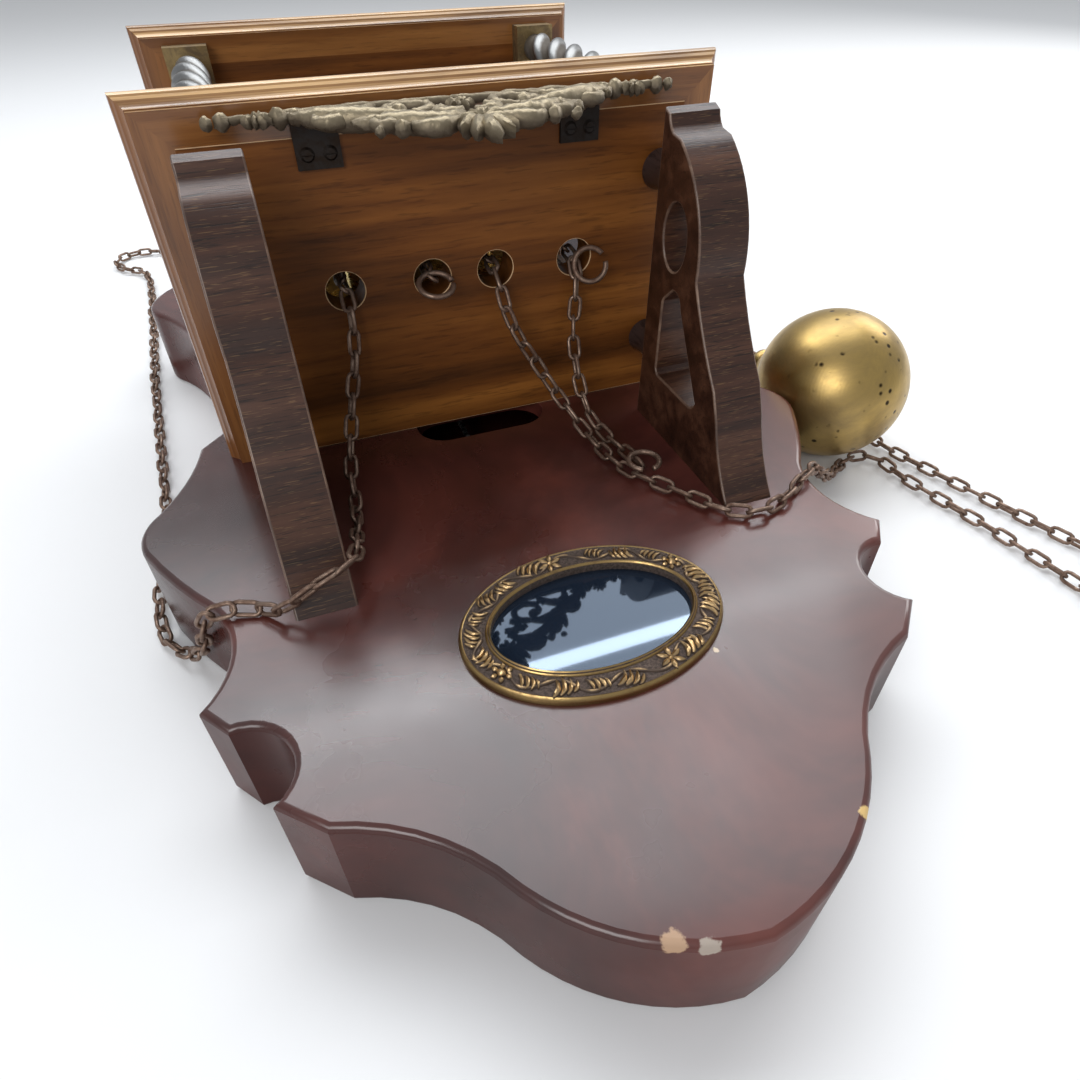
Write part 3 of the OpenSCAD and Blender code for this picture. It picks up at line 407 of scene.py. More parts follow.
RING_PLACES = {
    "strike_chain": [((-13.6, -39.5, 113.5), (20, 0, 0), 7, 20), ((-120, 341.5, 5.5), (60, 0, 30), 3.6, 6)],
    "going_chain": [((55, -39.5, 112), (60, -20, 0), 7, 30), ((53, -107, 53.4), (0, 0, -100), 6.5, 40),
                    ((206.5, 28, 5.5), (60, 0, 100), 3.6, 6)],
}
rings = {}
for name, places in RING_PLACES.items():
    rings[name] = []
    for number, (place, angles, radius, gap) in enumerate(places):
        mesh = bent_wire("ring", Vector(place) * MM, angles, radius * MM, open_by=gap)
        ring = piece(f"{name}_ring_{number}", mesh, smooth=180)
        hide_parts("chain_rings")
        rings[name].append(ring)
WEIGHTS = {"going_chain": (GOING_PATH, "weight_right"), "strike_chain": (STRIKE_PATH, "weight_left")}
for name, (path, weight) in WEIGHTS.items():
    line = in_metres(path)
    print(name, "is", round(length_of(line), 3), "m long and carries", len(rings[name]), "rings and", weight)

# %% [markdown]
# ## Finishes
# Every finish below is made of noise and simple maths on the object's own coordinates, so that it holds
# on any piece at its real size. `Shader` keeps the node code short: each call adds one node and returns
# its output.

# %% Shader helper
class Shader:
    """A material under construction: every method adds a node or two."""

    def __init__(self, name, **constants):
        self.material = bpy.data.materials.new(name)
        self.material.use_nodes = True
        self.tree = self.material.node_tree
        self.bsdf = self.tree.nodes["Principled BSDF"]
        self.place = add(self.tree, "ShaderNodeTexCoord").outputs["Object"]
        self.set(**constants)

    def set(self, **values):
        for key, value in values.items():
            socket = self.bsdf.inputs[key.replace("_", " ")]
            if isinstance(value, bpy.types.NodeSocket):
                self.tree.links.new(value, socket)
            else:
                socket.default_value = value

    def scaled(self, *by):
        """The object's coordinates, stretched along each axis."""
        node = add(self.tree, "ShaderNodeVectorMath", {"operation": "MULTIPLY"}, i0=self.place, i1=by)
        return node.outputs[0]

    def noise(self, scale=1.0, at=None, detail=4.0, rough=0.6, bent=0.0):
        node = add(self.tree, "ShaderNodeTexNoise", Vector=at or self.place, Scale=scale, Detail=detail,
                   Roughness=rough, Distortion=bent)
        return node.outputs[0]

    def cells(self, scale):
        """The distance to the nearest of many scattered points."""
        return add(self.tree, "ShaderNodeTexVoronoi", Vector=self.place, Scale=scale).outputs["Distance"]

    def maths(self, operation, a, b=0.0, c=0.0):
        return add(self.tree, "ShaderNodeMath", {"operation": operation}, i0=a, i1=b, i2=c).outputs[0]

    def between(self, value, low, high, out_low=0.0, out_high=1.0):
        """Maps a value from low..high to out_low..out_high, clamped."""
        node = add(self.tree, "ShaderNodeMapRange", Value=value)
        for key, number in (("From Min", low), ("From Max", high), ("To Min", out_low), ("To Max", out_high)):
            node.inputs[key].default_value = number
        return node.outputs[0]

    def ramp(self, value, *stops):
        node = add(self.tree, "ShaderNodeValToRGB", Fac=value)
        band = node.color_ramp
        while len(band.elements) < len(stops):
            band.elements.new(0.5)
        for element, (at, colour) in zip(band.elements, stops):
            element.position = at
            element.color = (*colour, 1)
        return node.outputs[0]

    def mix(self, share, a, b):
        node = add(self.tree, "ShaderNodeMix", {"data_type": "RGBA"})
        for socket, value in ((node.inputs[0], share), (node.inputs[6], a), (node.inputs[7], b)):
            if isinstance(value, bpy.types.NodeSocket):
                self.tree.links.new(value, socket)
            else:
                socket.default_value = (*value, 1) if isinstance(value, tuple) else value
        return node.outputs[2]

    def axis(self, letter):
        return add(self.tree, "ShaderNodeSeparateXYZ", i0=self.place).outputs[letter]

    def facing(self, letter):
        normal = add(self.tree, "ShaderNodeNewGeometry").outputs["Normal"]
        return self.maths("ABSOLUTE", add(self.tree, "ShaderNodeSeparateXYZ", i0=normal).outputs[letter])

    def bump(self, height, strength=0.3, distance=0.0005):
        node = add(self.tree, "ShaderNodeBump", Height=height, Strength=strength, Distance=distance)
        self.set(Normal=node.outputs[0])

    def near(self, place, radius):
        """1 at a place in millimetres, falling to 0 at a ragged edge about a radius away."""
        away = add(self.tree, "ShaderNodeVectorMath", {"operation": "DISTANCE"}, i0=self.place,
                   i1=tuple(p * MM for p in place)).outputs["Value"]
        ragged = self.maths("MULTIPLY_ADD", self.noise(420, detail=3), radius * MM * 1.2, away)
        return self.between(ragged, radius * MM * 1.55, radius * MM * 1.35)


print("shader helper is ready")

# %% [markdown]
# ### Lacquer
# The case is sprayed with a dark mahogany lacquer. Its red varies in soft clouds, dust has settled in it,
# and a few knocks on the lower edge have gone through to the pale board underneath.

# %% Lacquer
def lacquer(name, chips=()):
    """Sprayed lacquer. Each chip is a place and a radius in millimetres, and the colour that shows there."""
    s = Shader(name, IOR=1.5)
    cloud = s.noise(9, detail=5, rough=0.65, bent=0.6)
    colour = s.ramp(cloud, (0.32, (0.030, 0.0085, 0.0070)), (0.50, (0.062, 0.0155, 0.0120)),
                    (0.66, (0.120, 0.0300, 0.0215)))
    dust = s.between(s.cells(24), 0.011, 0.008)
    colour = s.mix(s.maths("MULTIPLY", dust, s.between(s.noise(17, detail=1), 0.48, 0.52)), colour,
                   (0.55, 0.50, 0.47))
    rough = s.between(s.noise(11, detail=5, rough=0.6), 0.35, 0.65, 0.20, 0.40)
    for place, radius, bare in chips:
        gone = s.near(place, radius)
        colour = s.mix(gone, colour, bare)
        rough = s.maths("MULTIPLY_ADD", gone, 0.5, rough)
    scratch = s.noise(1, at=s.scaled(9, 700, 60), detail=2, rough=0.5)
    level = s.facing("Z")
    s.set(Base_Color=colour, Roughness=rough, Coat_Weight=s.between(level, 0.2, 0.9, 0.03, 0.5),
          Specular_IOR_Level=s.between(level, 0.2, 0.9, 0.12, 0.5), Coat_Roughness=0.15, Coat_IOR=1.5)
    s.bump(s.maths("MULTIPLY_ADD", scratch, 0.10, s.noise(16, detail=2)), 0.08, 0.0008)
    return s.material


LACQUER = lacquer("lacquer", [
    ((-24, -277.6, 44.6), 3.6, (0.42, 0.27, 0.17)), ((-16, -281.5, 43.5), 3.0, (0.36, 0.30, 0.25)),
    ((41.8, -266.3, 44), 2.4, (0.62, 0.42, 0.16)), ((32.6, -202, 45), 1.2, (0.62, 0.50, 0.36)),
    ((-117, -127.5, 44.6), 1.8, (0.52, 0.44, 0.46))])
print("lacquer has", len(LACQUER.node_tree.nodes), "nodes")


# %% [markdown]
# ### Woods
# Oak shows dark streaks along its grain, short open pores, and pale flecks where its rays are cut. One
# function makes them all: stretching the coordinates along the grain turns round noise into streaks. It
# can also paint a highlight on faces that look up towards the lamps.

# %% Wood
def wood(name, dark, mid, light, grain="X", streak=1.0, pores=0.6, flecks=0.0, rough=0.42, coat=0.0,
         mitred=False, shine=0.35, painted_top_highlight=0.0):
    """Oak from three colours, with its grain along an axis; the rest are shares from 0 to 1."""
    s = Shader(name, Roughness=rough, Coat_Weight=coat, Coat_Roughness=0.2, Specular_IOR_Level=shine)
    along, across = 5.0, 75.0 * streak
    if mitred:
        s.place = mitred_place(s)
    by = {"X": (along, across, across), "Y": (across, along, across), "Z": (across, across, along)}[grain]
    streaks = s.noise(1, at=s.scaled(*by), detail=7, rough=0.62, bent=0.35)
    broad = s.noise(1, at=s.scaled(*[b * 0.32 for b in by]), detail=2, rough=0.5, bent=0.8)
    value = s.maths("MULTIPLY_ADD", broad, 0.45, s.maths("MULTIPLY", streaks, 0.60))
    colour = s.ramp(value, (0.36, dark), (0.52, mid), (0.66, light))
    fine = s.noise(1, at=s.scaled(*[b * f for b, f in zip(by, [12 if b == along else 9 for b in by])]),
                   detail=2, rough=0.7)
    pore = s.maths("MULTIPLY", s.between(fine, 0.56, 0.66), pores)
    colour = s.mix(pore, colour, tuple(c * 0.35 for c in dark))
    if flecks:
        ray = s.noise(1, at=s.scaled(*[b * f for b, f in zip(by, [34 if b == along else 20 for b in by])]),
                      detail=1, rough=0.4)
        cut = s.maths("SUBTRACT", 1.0, s.facing("X"))
        colour = s.mix(s.maths("MULTIPLY", s.maths("MULTIPLY", s.between(ray, 0.64, 0.70), cut), flecks),
                       colour, (0.34, 0.20, 0.085))
    # Painted highlight: faces turned up towards the lamps are mixed towards pale gold, most where the streaks
    # are light.
    if painted_top_highlight:
        top_highlight_mask = s.maths("MULTIPLY", s.between(s.facing("Z"), 0.30, 0.85), s.between(streaks, 0.34, 0.54))
        colour = s.mix(s.maths("MULTIPLY", top_highlight_mask, painted_top_highlight), colour, (0.74, 0.47, 0.21))
    s.set(Base_Color=colour)
    s.bump(s.maths("MULTIPLY_ADD", pore, -0.6, streaks), 0.18, 0.0005)
    return s.material


HOOD_HALF, HOOD_FRONT = 0.1076, 0.182


def mitred_place(s):
    """Turns the coordinates a quarter on the side strips of a mitred frame, so the grain follows each."""
    x, y, z = (s.axis(a) for a in "XYZ")
    side = s.maths("SUBTRACT", s.maths("ABSOLUTE", x), HOOD_HALF)
    front = s.maths("SUBTRACT", z, HOOD_FRONT)
    on_side = s.maths("GREATER_THAN", side, front)
    turned = add(s.tree, "ShaderNodeCombineXYZ", X=z, Y=y, Z=x).outputs[0]
    plain = add(s.tree, "ShaderNodeCombineXYZ", X=x, Y=y, Z=z).outputs[0]
    node = add(s.tree, "ShaderNodeMix", {"data_type": "VECTOR"})
    s.tree.links.new(on_side, node.inputs[0])
    s.tree.links.new(plain, node.inputs[4])
    s.tree.links.new(turned, node.inputs[5])
    return node.outputs[1]


HOOD_OAK = wood("hood_oak", (0.034, 0.011, 0.0030), (0.138, 0.044, 0.0080), (0.270, 0.098, 0.018), pores=0.30,
                rough=0.50, shine=0.2)
# The moulding gets a painted highlight on its faces that look up towards the lamps.
MOULDING_OAK = wood("moulding_oak", (0.060, 0.021, 0.0060), (0.170, 0.062, 0.0150), (0.300, 0.125, 0.034),
                    streak=1.4, pores=0.25, rough=0.28, coat=0.5, mitred=True, painted_top_highlight=0.85)
CHAMFER_OAK = wood("chamfer_oak", (0.40, 0.24, 0.12), (0.58, 0.38, 0.21), (0.70, 0.50, 0.31), pores=0.3)
BRACKET_OAK = wood("bracket_oak", (0.016, 0.0060, 0.0035), (0.044, 0.0165, 0.0090), (0.090, 0.038, 0.021),
                   streak=2.0, pores=0.75, flecks=0.22, rough=0.36, coat=0.10)
WORN_OAK = wood("worn_oak", (0.060, 0.034, 0.024), (0.115, 0.066, 0.045), (0.20, 0.125, 0.085), streak=1.5,
                pores=0.3, rough=0.4, coat=0.2)
FEET_OAK = wood("feet_oak", (0.020, 0.012, 0.011), (0.036, 0.021, 0.018), (0.06, 0.036, 0.030), "Y",
                rough=0.35)
FRAME_OAK = wood("frame_oak", (0.050, 0.020, 0.008), (0.13, 0.052, 0.016), (0.24, 0.10, 0.030), "Y")
print("woods:", [m.name for m in bpy.data.materials if m.name.endswith("oak")])


# %% [markdown]
# ### Metals
# Old metal is never one colour. Cast bronze keeps green-grey tarnish in its hollows and shines where
# hands rub it; brass weights are pitted; chains are brown with rust. `metal` mixes a bright and a dull
# finish by noise, and can pit the surface.

# %% Metal
def metal(name, bright, dull, rough=(0.25, 0.55), scale=60.0, cover=(0.40, 0.62), dull_metal=0.6, pits=0.0,
          bumps=0.15):
    """Metal from a bright and a dull colour, mixed by noise between the two levels of `cover`."""
    s = Shader(name)
    spread = s.noise(scale, detail=8, rough=0.68, bent=0.4)
    share = s.between(spread, *cover)
    colour = s.mix(share, bright, dull)
    s.set(Metallic=s.between(share, 0, 1, 1.0, dull_metal), Roughness=s.between(share, 0, 1, *rough))
    height = s.noise(scale * 6, detail=4)
    if pits:
        pit = s.maths("MULTIPLY", s.between(s.cells(170), 0.26, 0.14),
                      s.between(s.noise(55, detail=3), 0.50, 0.56))
        colour = s.mix(pit, colour, (0.035, 0.022, 0.010))
        height = s.maths("MULTIPLY_ADD", pit, -pits, height)
    s.set(Base_Color=colour)
    s.bump(height, bumps, 0.0004)
    return s.material


def relief_metal(name, hollow, raised, low, high, around=None, rough=(0.6, 0.3), scale=260.0,
                 level=(0.35, 0.75), bumps=0.35):
    """Tarnish in the hollows and bright metal on what stands out, by height between two levels.

    With `around`, the height is the distance from the two upright lines at that x and z instead."""
    s = Shader(name)
    height = s.axis("Z")
    if around:
        x = s.maths("SUBTRACT", s.maths("ABSOLUTE", s.axis("X")), around[0] * MM)
        z = s.maths("SUBTRACT", height, around[1] * MM)
        square = s.maths("MULTIPLY_ADD", x, x, s.maths("MULTIPLY", z, z))
        height = s.maths("SQRT", square)
    rise = s.between(height, low * MM, high * MM)
    worn = s.maths("MULTIPLY_ADD", s.noise(scale, detail=5, rough=0.7), 0.7, s.maths("SUBTRACT", rise, 0.35))
    share = s.between(worn, *level)
    s.set(Base_Color=s.mix(share, hollow, raised), Metallic=s.between(share, 0, 1, 0.45, 1.0),
          Roughness=s.between(share, 0, 1, *rough))
    s.bump(s.noise(scale * 3.5, detail=4), bumps, 0.0005)
    return s.material


CHAIN_STEEL = metal("chain_steel", (0.27, 0.19, 0.145), (0.110, 0.055, 0.034), (0.42, 0.65), 240,
                    (0.40, 0.66), 0.5)
WEIGHT_BRASS = metal("weight_brass", (0.50, 0.34, 0.115), (0.23, 0.165, 0.080), (0.33, 0.50), 24,
                     (0.40, 0.72), 0.85, pits=1.2)
BOB_BRASS = metal("bob_brass", (0.75, 0.52, 0.20), (0.45, 0.30, 0.12), (0.22, 0.4))
MOVEMENT_BRASS = metal("movement_brass", (0.80, 0.58, 0.25), (0.58, 0.40, 0.16), (0.2, 0.4), 90)
STEEL = metal("movement_steel", (0.58, 0.57, 0.55), (0.36, 0.34, 0.32), (0.22, 0.45), 120)
HANGER_STEEL = metal("hanger_steel", (0.60, 0.60, 0.58), (0.42, 0.41, 0.39), (0.35, 0.5), 50)
GONG_STEEL = metal("gong_steel", (0.20, 0.19, 0.18), (0.10, 0.09, 0.085), (0.35, 0.6), 80)
BLACK_IRON = metal("black_iron", (0.030, 0.021, 0.016), (0.015, 0.010, 0.008), (0.5, 0.75), 200,
                   dull_metal=0.2)
BLUED_STEEL = metal("blued_steel", (0.035, 0.045, 0.085), (0.02, 0.022, 0.035), (0.25, 0.4), 120)
BLOCK_BRASS = metal("block_brass", (0.36, 0.26, 0.12), (0.14, 0.095, 0.05), (0.32, 0.6), 110,
                    (0.38, 0.62), 0.6)
DIAL_BRASS = metal("dial_brass", (0.78, 0.58, 0.27), (0.60, 0.42, 0.18), (0.25, 0.42), 60)
RING_BRASS = metal("ring_brass", (0.40, 0.27, 0.11), (0.20, 0.125, 0.060), (0.28, 0.5), 160, (0.45, 0.7), 0.8)
RING_GROUND = metal("ring_ground", (0.165, 0.125, 0.105), (0.060, 0.043, 0.036), (0.5, 0.7), 900,
                    (0.4, 0.6), 0.5, bumps=0.9)
RELIEF_GOLD = relief_metal("relief_gold", (0.075, 0.050, 0.036), (0.50, 0.34, 0.17), 47.9, 48.8)
CAST_BRONZE = relief_metal("cast_bronze", (0.095, 0.070, 0.045), (0.29, 0.240, 0.160), 176.0, 182, scale=120,
                           rough=(0.65, 0.42), level=(0.25, 0.8), bumps=0.7)
COLUMN_X, COLUMN_Z = 88.5, 169.0
COLUMN_METAL = relief_metal("column_metal", (0.075, 0.060, 0.045), (0.23, 0.23, 0.225), 5.4, 7.8,
                            (COLUMN_X, COLUMN_Z), rough=(0.6, 0.36), scale=110, level=(0.25, 0.7))
print("finishes so far:", len(bpy.data.materials))

# %% [markdown]
# ### Glass and dial paint
# A pane is mostly clear and a little mirror, so a transparent shader is mixed with a glossy one. The
# pendulum's window is dark behind. Its pane is made nearly solid and dark, as painted shade for the
# hollow behind it, and its mirror is tinted blue as a painted reflection: what it shows is the room.

# %% Glass and dial paint
def window_glass(name, tint, solid, mirror=(1, 1, 1)):
    """A thin pane: `solid` is the share of it that isn't seen through."""
    s = Shader(name, Base_Color=(*tint, 1), Roughness=0.03, IOR=1.5, Specular_IOR_Level=0.8,
               Specular_Tint=(*mirror, 1))
    clear = add(s.tree, "ShaderNodeBsdfTransparent", Color=(0.80, 0.84, 0.86, 1))
    both = add(s.tree, "ShaderNodeMixShader", i0=solid, i1=clear.outputs[0], i2=s.bsdf.outputs[0])
    s.tree.links.new(both.outputs[0], s.tree.nodes["Material Output"].inputs[0])
    return s.material


# Painted shade and reflection: the window's pane is nearly solid and dark in place of the dark hollow behind
# it, and its mirror is tinted blue.
LENS_GLASS = window_glass("lens_glass", (0.010, 0.016, 0.028), 0.93, (0.62, 0.78, 1.0))
CLEAR_GLASS = window_glass("clear_glass", (0.02, 0.022, 0.026), 0.10)
DIAL_WHITE = Shader("dial_white", Base_Color=(0.80, 0.76, 0.64, 1), Roughness=0.35).material
DIAL_BLACK = Shader("dial_black", Base_Color=(0.012, 0.012, 0.014, 1), Roughness=0.4).material
print("finishes:", len(bpy.data.materials))

# %% [markdown]
# ## Dressing the frame
# Most solids of the frame are already the right shape and only need a finish. The list below goes by
# material: which finish, a slot name, and the solids that wear it.

# %% Dress the CAD nodes
DRESS = [
    (FEET_OAK, "bracket_oak", ["bun_feet"]),
    (HOOD_OAK, "hood_oak", ["hood_top"]),
    (MOULDING_OAK, "moulding_oak", ["floor_moulding", "top_moulding"]),
    (FRAME_OAK, "hood_oak", ["side_frame_left", "side_frame_right", "front_frame", "door_frame"]),
    (CLEAR_GLASS, "window_glass", ["side_glass", "door_glass"]),
    (LENS_GLASS, "window_glass", ["lens_glass"]),
    (HANGER_STEEL, "hanger_steel", ["hanger_plate"]),
    (BLOCK_BRASS, "block_brass", ["column_blocks"]),
    (BLACK_IRON, "black_iron", ["apron_plates", "apron_screws", "gong_post"]),
    (WEIGHT_BRASS, "weight_brass", ["weight_left", "weight_right"]),
    (BOB_BRASS, "weight_brass", ["pendulum_bob"]),
    (DIAL_BRASS, "dial_brass", ["dial_plate", "hand_nut", "door_knob", "door_pins"]),
    (DIAL_WHITE, "ring_white", ["chapter_ring"]),
    (BLUED_STEEL, "blued_steel", ["hour_hand", "minute_hand"]),
    (GONG_STEEL, "gong_steel", ["gong"]),
    (STEEL, "movement_steel", ["anchor", "crutch", "pendulum_rod", "hammer", "cannon_pinion"]),
    (MOVEMENT_BRASS, "movement_brass", [
        "front_plate", "back_plate", "pillars", "going_chain_wheel", "going_great_wheel", "centre_wheel",
        "third_wheel", "escape_wheel", "strike_chain_wheel", "strike_great_wheel", "pin_wheel", "fly",
        "minute_wheel", "hour_wheel", "suspension_cock"]),
]


def wear(obj, material, slot, *more):
    """Gives a piece its finish; a face's own index picks one of the further finishes."""
    faces = obj.data.polygons
    index = [0] * len(faces)
    faces.foreach_get("material_index", index)
    obj.data.materials.clear()
    for each in (material, *more):
        obj.data.materials.append(each)
    faces.foreach_set("material_index", [i if i <= len(more) else 0 for i in index])


for material, slot, names in DRESS:
    for name in names:
        wear(NODES[name], material, slot)
for name, chain in chains.items():
    wear(chain, CHAIN_STEEL, "chain_steel")
    for ring in rings[name]:
        wear(ring, CHAIN_STEEL, "chain_steel")
print("dressed", sum(len(names) for _, _, names in DRESS), "solids")

# %% [markdown]
# ## The case
# A factory case has no knife edges: sanding and lacquer round every arris to two or three millimetres,
# and that rounding catches the light all round the outline. Bevelling copies of the front and back boards
# gives it; the rim wall is copied without a bevel. The faces beside a bevel are marked sharp along it, so
# that flat stays flat.

# %% Rounded boards
def soften(form, chosen, width, segments=4):
    """Bevels edges and keeps the flats beside them flat. Returns the new faces."""
    made = bmesh.ops.bevel(form, geom=list(chosen), offset=width, segments=segments, affect="EDGES",
                           profile=0.5, clamp_overlap=True)
    fresh = set(made["faces"])
    for edge in form.edges:
        if len(edge.link_faces) == 2 and (edge.link_faces[0] in fresh) != (edge.link_faces[1] in fresh):
            edge.smooth = False
    return fresh


def rim_edges(form, level, axis=2, sharp=60, keep=lambda middle: True):
    """Edges that lie in the plane at a level, in millimetres, and turn a corner."""
    found = []
    for edge in form.edges:
        if any(abs(v.co[axis] - level * MM) > 1e-5 for v in edge.verts) or len(edge.link_faces) != 2:
            continue
        if edge.calc_face_angle(0) > math.radians(sharp) and keep((edge.verts[0].co + edge.verts[1].co) / 2):
            found.append(edge)
    return found


def board(node, name, rounds, material, slot, second=None, smooth=35):
    """A copy of a CAD node with some edges rounded; rounds lists (edge finder, width in mm, finish index)."""
    form = shape_of(node)
    for finder, width, index in rounds:
        for face in soften(form, finder(form), width * MM):
            face.material_index = index
    kept = {tuple(sorted(v.index for v in e.verts)) for e in form.edges if not e.smooth}
    obj = piece(name, finished(form, name), smooth=smooth)
    for edge in obj.data.edges:
        if tuple(sorted(edge.vertices)) in kept:
            edge.use_edge_sharp = True
    wear(obj, material, slot, *([second] if second else []))
    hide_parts(node)
    print(name, "has", len(obj.data.polygons), "faces")


CASE_T, LENS_Y, SLOT_Y = 45, -174.9, -36.5  # millimetres


def on_outline(middle):
    """Tells the case's outer edge from the edges of its openings."""
    x, y = middle.x / MM, middle.y / MM
    window = math.hypot(x / 46, (y - LENS_Y) / 34) < 1
    slot = abs(x) < 40 and abs(y - SLOT_Y) < 18
    return not (window or slot or math.hypot(x, y - 106.9) < 16)


def on_slot(middle):
    """Tells the edge of the pendulum's slot."""
    return abs(middle.x) < 0.04 and abs(middle.y - SLOT_Y * MM) < 0.018


board("case_front", "case_front_board", [
    (lambda f: rim_edges(f, CASE_T, keep=on_outline), 2.4, 0),
    (lambda f: rim_edges(f, CASE_T, keep=on_slot), 0.8, 0)], LACQUER, "lacquer_case", smooth=25)
board("case_rim", "case_rim_wall", [], LACQUER, "lacquer_case", smooth=25)
board("case_back", "case_back_board", [
    (lambda f: rim_edges(f, 0, keep=lambda m: abs(m.x) > 0.03 or m.y < 0.2 or m.y > 0.27), 1.5, 0)],
    LACQUER, "lacquer_case", smooth=25)

# %% [markdown]
# ## Brackets and hood boards
# The brackets are thick boards sawn to shape. Their arrises are rubbed pale, so the bevel faces take a
# second, worn finish. The hood's floor gets small bright chamfers round the two left chain holes, where
# the drill and the chain have taken the stain away.

# %% Brackets and floor
def side_corners(form):
    """Edges along the two flat sides of a bracket, but not those against the case."""
    found = []
    for edge in form.edges:
        if len(edge.link_faces) != 2 or edge.calc_face_angle(0) <= math.radians(45):
            continue
        a, b = (v.co for v in edge.verts)
        if abs(a.x - b.x) < 1e-5 and (a.z + b.z) / 2 > (CASE_T + 0.6) * MM:
            found.append(edge)
    return found


for name in ("bracket_left", "bracket_right"):
    board(name, name + "_oak", [(side_corners, 1.1, 1)], BRACKET_OAK, "bracket_oak", WORN_OAK, smooth=14)
board("hood_floor", "hood_floor_board", [
    (lambda f: rim_edges(f, FLOOR_Y, axis=1, keep=lambda m: abs(m.x) < 0.06), 0.9, 1)],
    HOOD_OAK, "hood_oak", CHAMFER_OAK)

# %% [markdown]
# ## Two trees for ornament
# Carved and cast ornament is mostly two things: stems that swell and taper along a curve, and small
# leaves or petals repeated at marked spots. `stems` sweeps a round section along curves, thick where the
# curve's radius is large. `scatter` sets a model on every vertex of a mesh, which holds a turn, a size
# and a turned-over mark for each. Both can push their points a little, as a worn casting would be.

# %% Ornament trees
def uneven(tree, form, amount):
    """Pushes every point a little by a noise, the way a casting loses its crispness."""
    cloud = add(tree, "ShaderNodeTexNoise", Scale=420.0, Detail=2.0)
    centred = add(tree, "ShaderNodeVectorMath", {"operation": "SUBTRACT"}, i0=cloud.outputs["Color"],
                  i1=(0.5, 0.5, 0.5))
    push = add(tree, "ShaderNodeVectorMath", {"operation": "SCALE"}, i0=centred.outputs[0], Scale=amount)
    return add(tree, "GeometryNodeSetPosition", Geometry=form, Offset=push.outputs[0]).outputs[0]


def stems_tree():
    tree, given, result = new_tree("stems", [
        ("Steps", "NodeSocketInt", 8), ("Flatten", "NodeSocketFloat", 0.8),
        ("Height", "NodeSocketFloat", 0.0), ("Uneven", "NodeSocketFloat", 0.0),
        ("Finish", "NodeSocketMaterial", None)])
    spline = add(tree, "GeometryNodeCurveSplineType", {"spline_type": "CATMULL_ROM"}, Curve=given["Geometry"])
    fine = add(tree, "GeometryNodeSetSplineResolution", Geometry=spline.outputs[0], Resolution=given["Steps"])
    section = add(tree, "GeometryNodeCurvePrimitiveCircle", Resolution=10, Radius=1.0)
    swept = add(tree, "GeometryNodeCurveToMesh", Curve=fine.outputs[0], Profile_Curve=section.outputs[0],
                Fill_Caps=True)
    if "Scale" in swept.inputs:
        tree.links.new(add(tree, "GeometryNodeInputRadius").outputs[0], swept.inputs["Scale"])
    flat = add(tree, "ShaderNodeCombineXYZ", X=1.0, Y=1.0, Z=given["Flatten"])
    lift = add(tree, "ShaderNodeCombineXYZ", Z=given["Height"])
    placed = add(tree, "GeometryNodeTransform", Geometry=swept.outputs[0], Scale=flat.outputs[0],
                 Translation=lift.outputs[0])
    rough = uneven(tree, placed.outputs[0], given["Uneven"])
    dressed = add(tree, "GeometryNodeSetMaterial", Geometry=rough, Material=given["Finish"])
    tree.links.new(dressed.outputs[0], result)
    return tree


def named(tree, name):
    """A number that every point carries under a name."""
    node = add(tree, "GeometryNodeInputNamedAttribute", {"data_type": "FLOAT"}, Name=name)
    return node.outputs["Attribute"]


def scatter_tree():
    tree, given, result = new_tree("scatter", [
        ("Model", "NodeSocketObject", None), ("Uneven", "NodeSocketFloat", 0.0),
        ("Finish", "NodeSocketMaterial", None)])
    model = add(tree, "GeometryNodeObjectInfo", Object=given["Model"])
    turned = add(tree, "ShaderNodeCombineXYZ", X=named(tree, "over"), Z=named(tree, "turn"))
    points = add(tree, "GeometryNodeMeshToPoints", Mesh=given["Geometry"])
    placed = add(tree, "GeometryNodeInstanceOnPoints", Points=points.outputs[0],
                 Instance=model.outputs["Geometry"], Rotation=turned.outputs[0], Scale=named(tree, "size"))
    real = add(tree, "GeometryNodeRealizeInstances", Geometry=placed.outputs[0])
    rough = uneven(tree, real.outputs[0], given["Uneven"])
    dressed = add(tree, "GeometryNodeSetMaterial", Geometry=rough, Material=given["Finish"])
    tree.links.new(dressed.outputs[0], result)
    return tree


STEMS = stems_tree()
SCATTER = scatter_tree()


def stem_curves(name, stems):
    """A curve object's data from lists of (x, y, z, radius) in millimetres."""
    curve = bpy.data.curves.new(name, "CURVE")
    curve.dimensions = "3D"
    for stem in stems:
        spline = curve.splines.new("POLY")
        spline.points.add(len(stem) - 1)
        for point, (x, y, z, radius) in zip(spline.points, stem):
            point.co = (x * MM, y * MM, z * MM, 1)
            point.radius = radius * MM
    return curve


def marks(name, spots):
    """Vertices that hold where each model goes: (x, y, z in mm, turn in degrees, size, turned over)."""
    mesh = mesh_from(name, [Vector(s[:3]) * MM for s in spots], [])
    for key, values in (("turn", [math.radians(s[3]) for s in spots]), ("size", [s[4] for s in spots]),
                        ("over", [math.pi * s[5] for s in spots])):
        layer = mesh.attributes.new(key, "FLOAT", "POINT")
        layer.data.foreach_set("value", values)
    return mesh


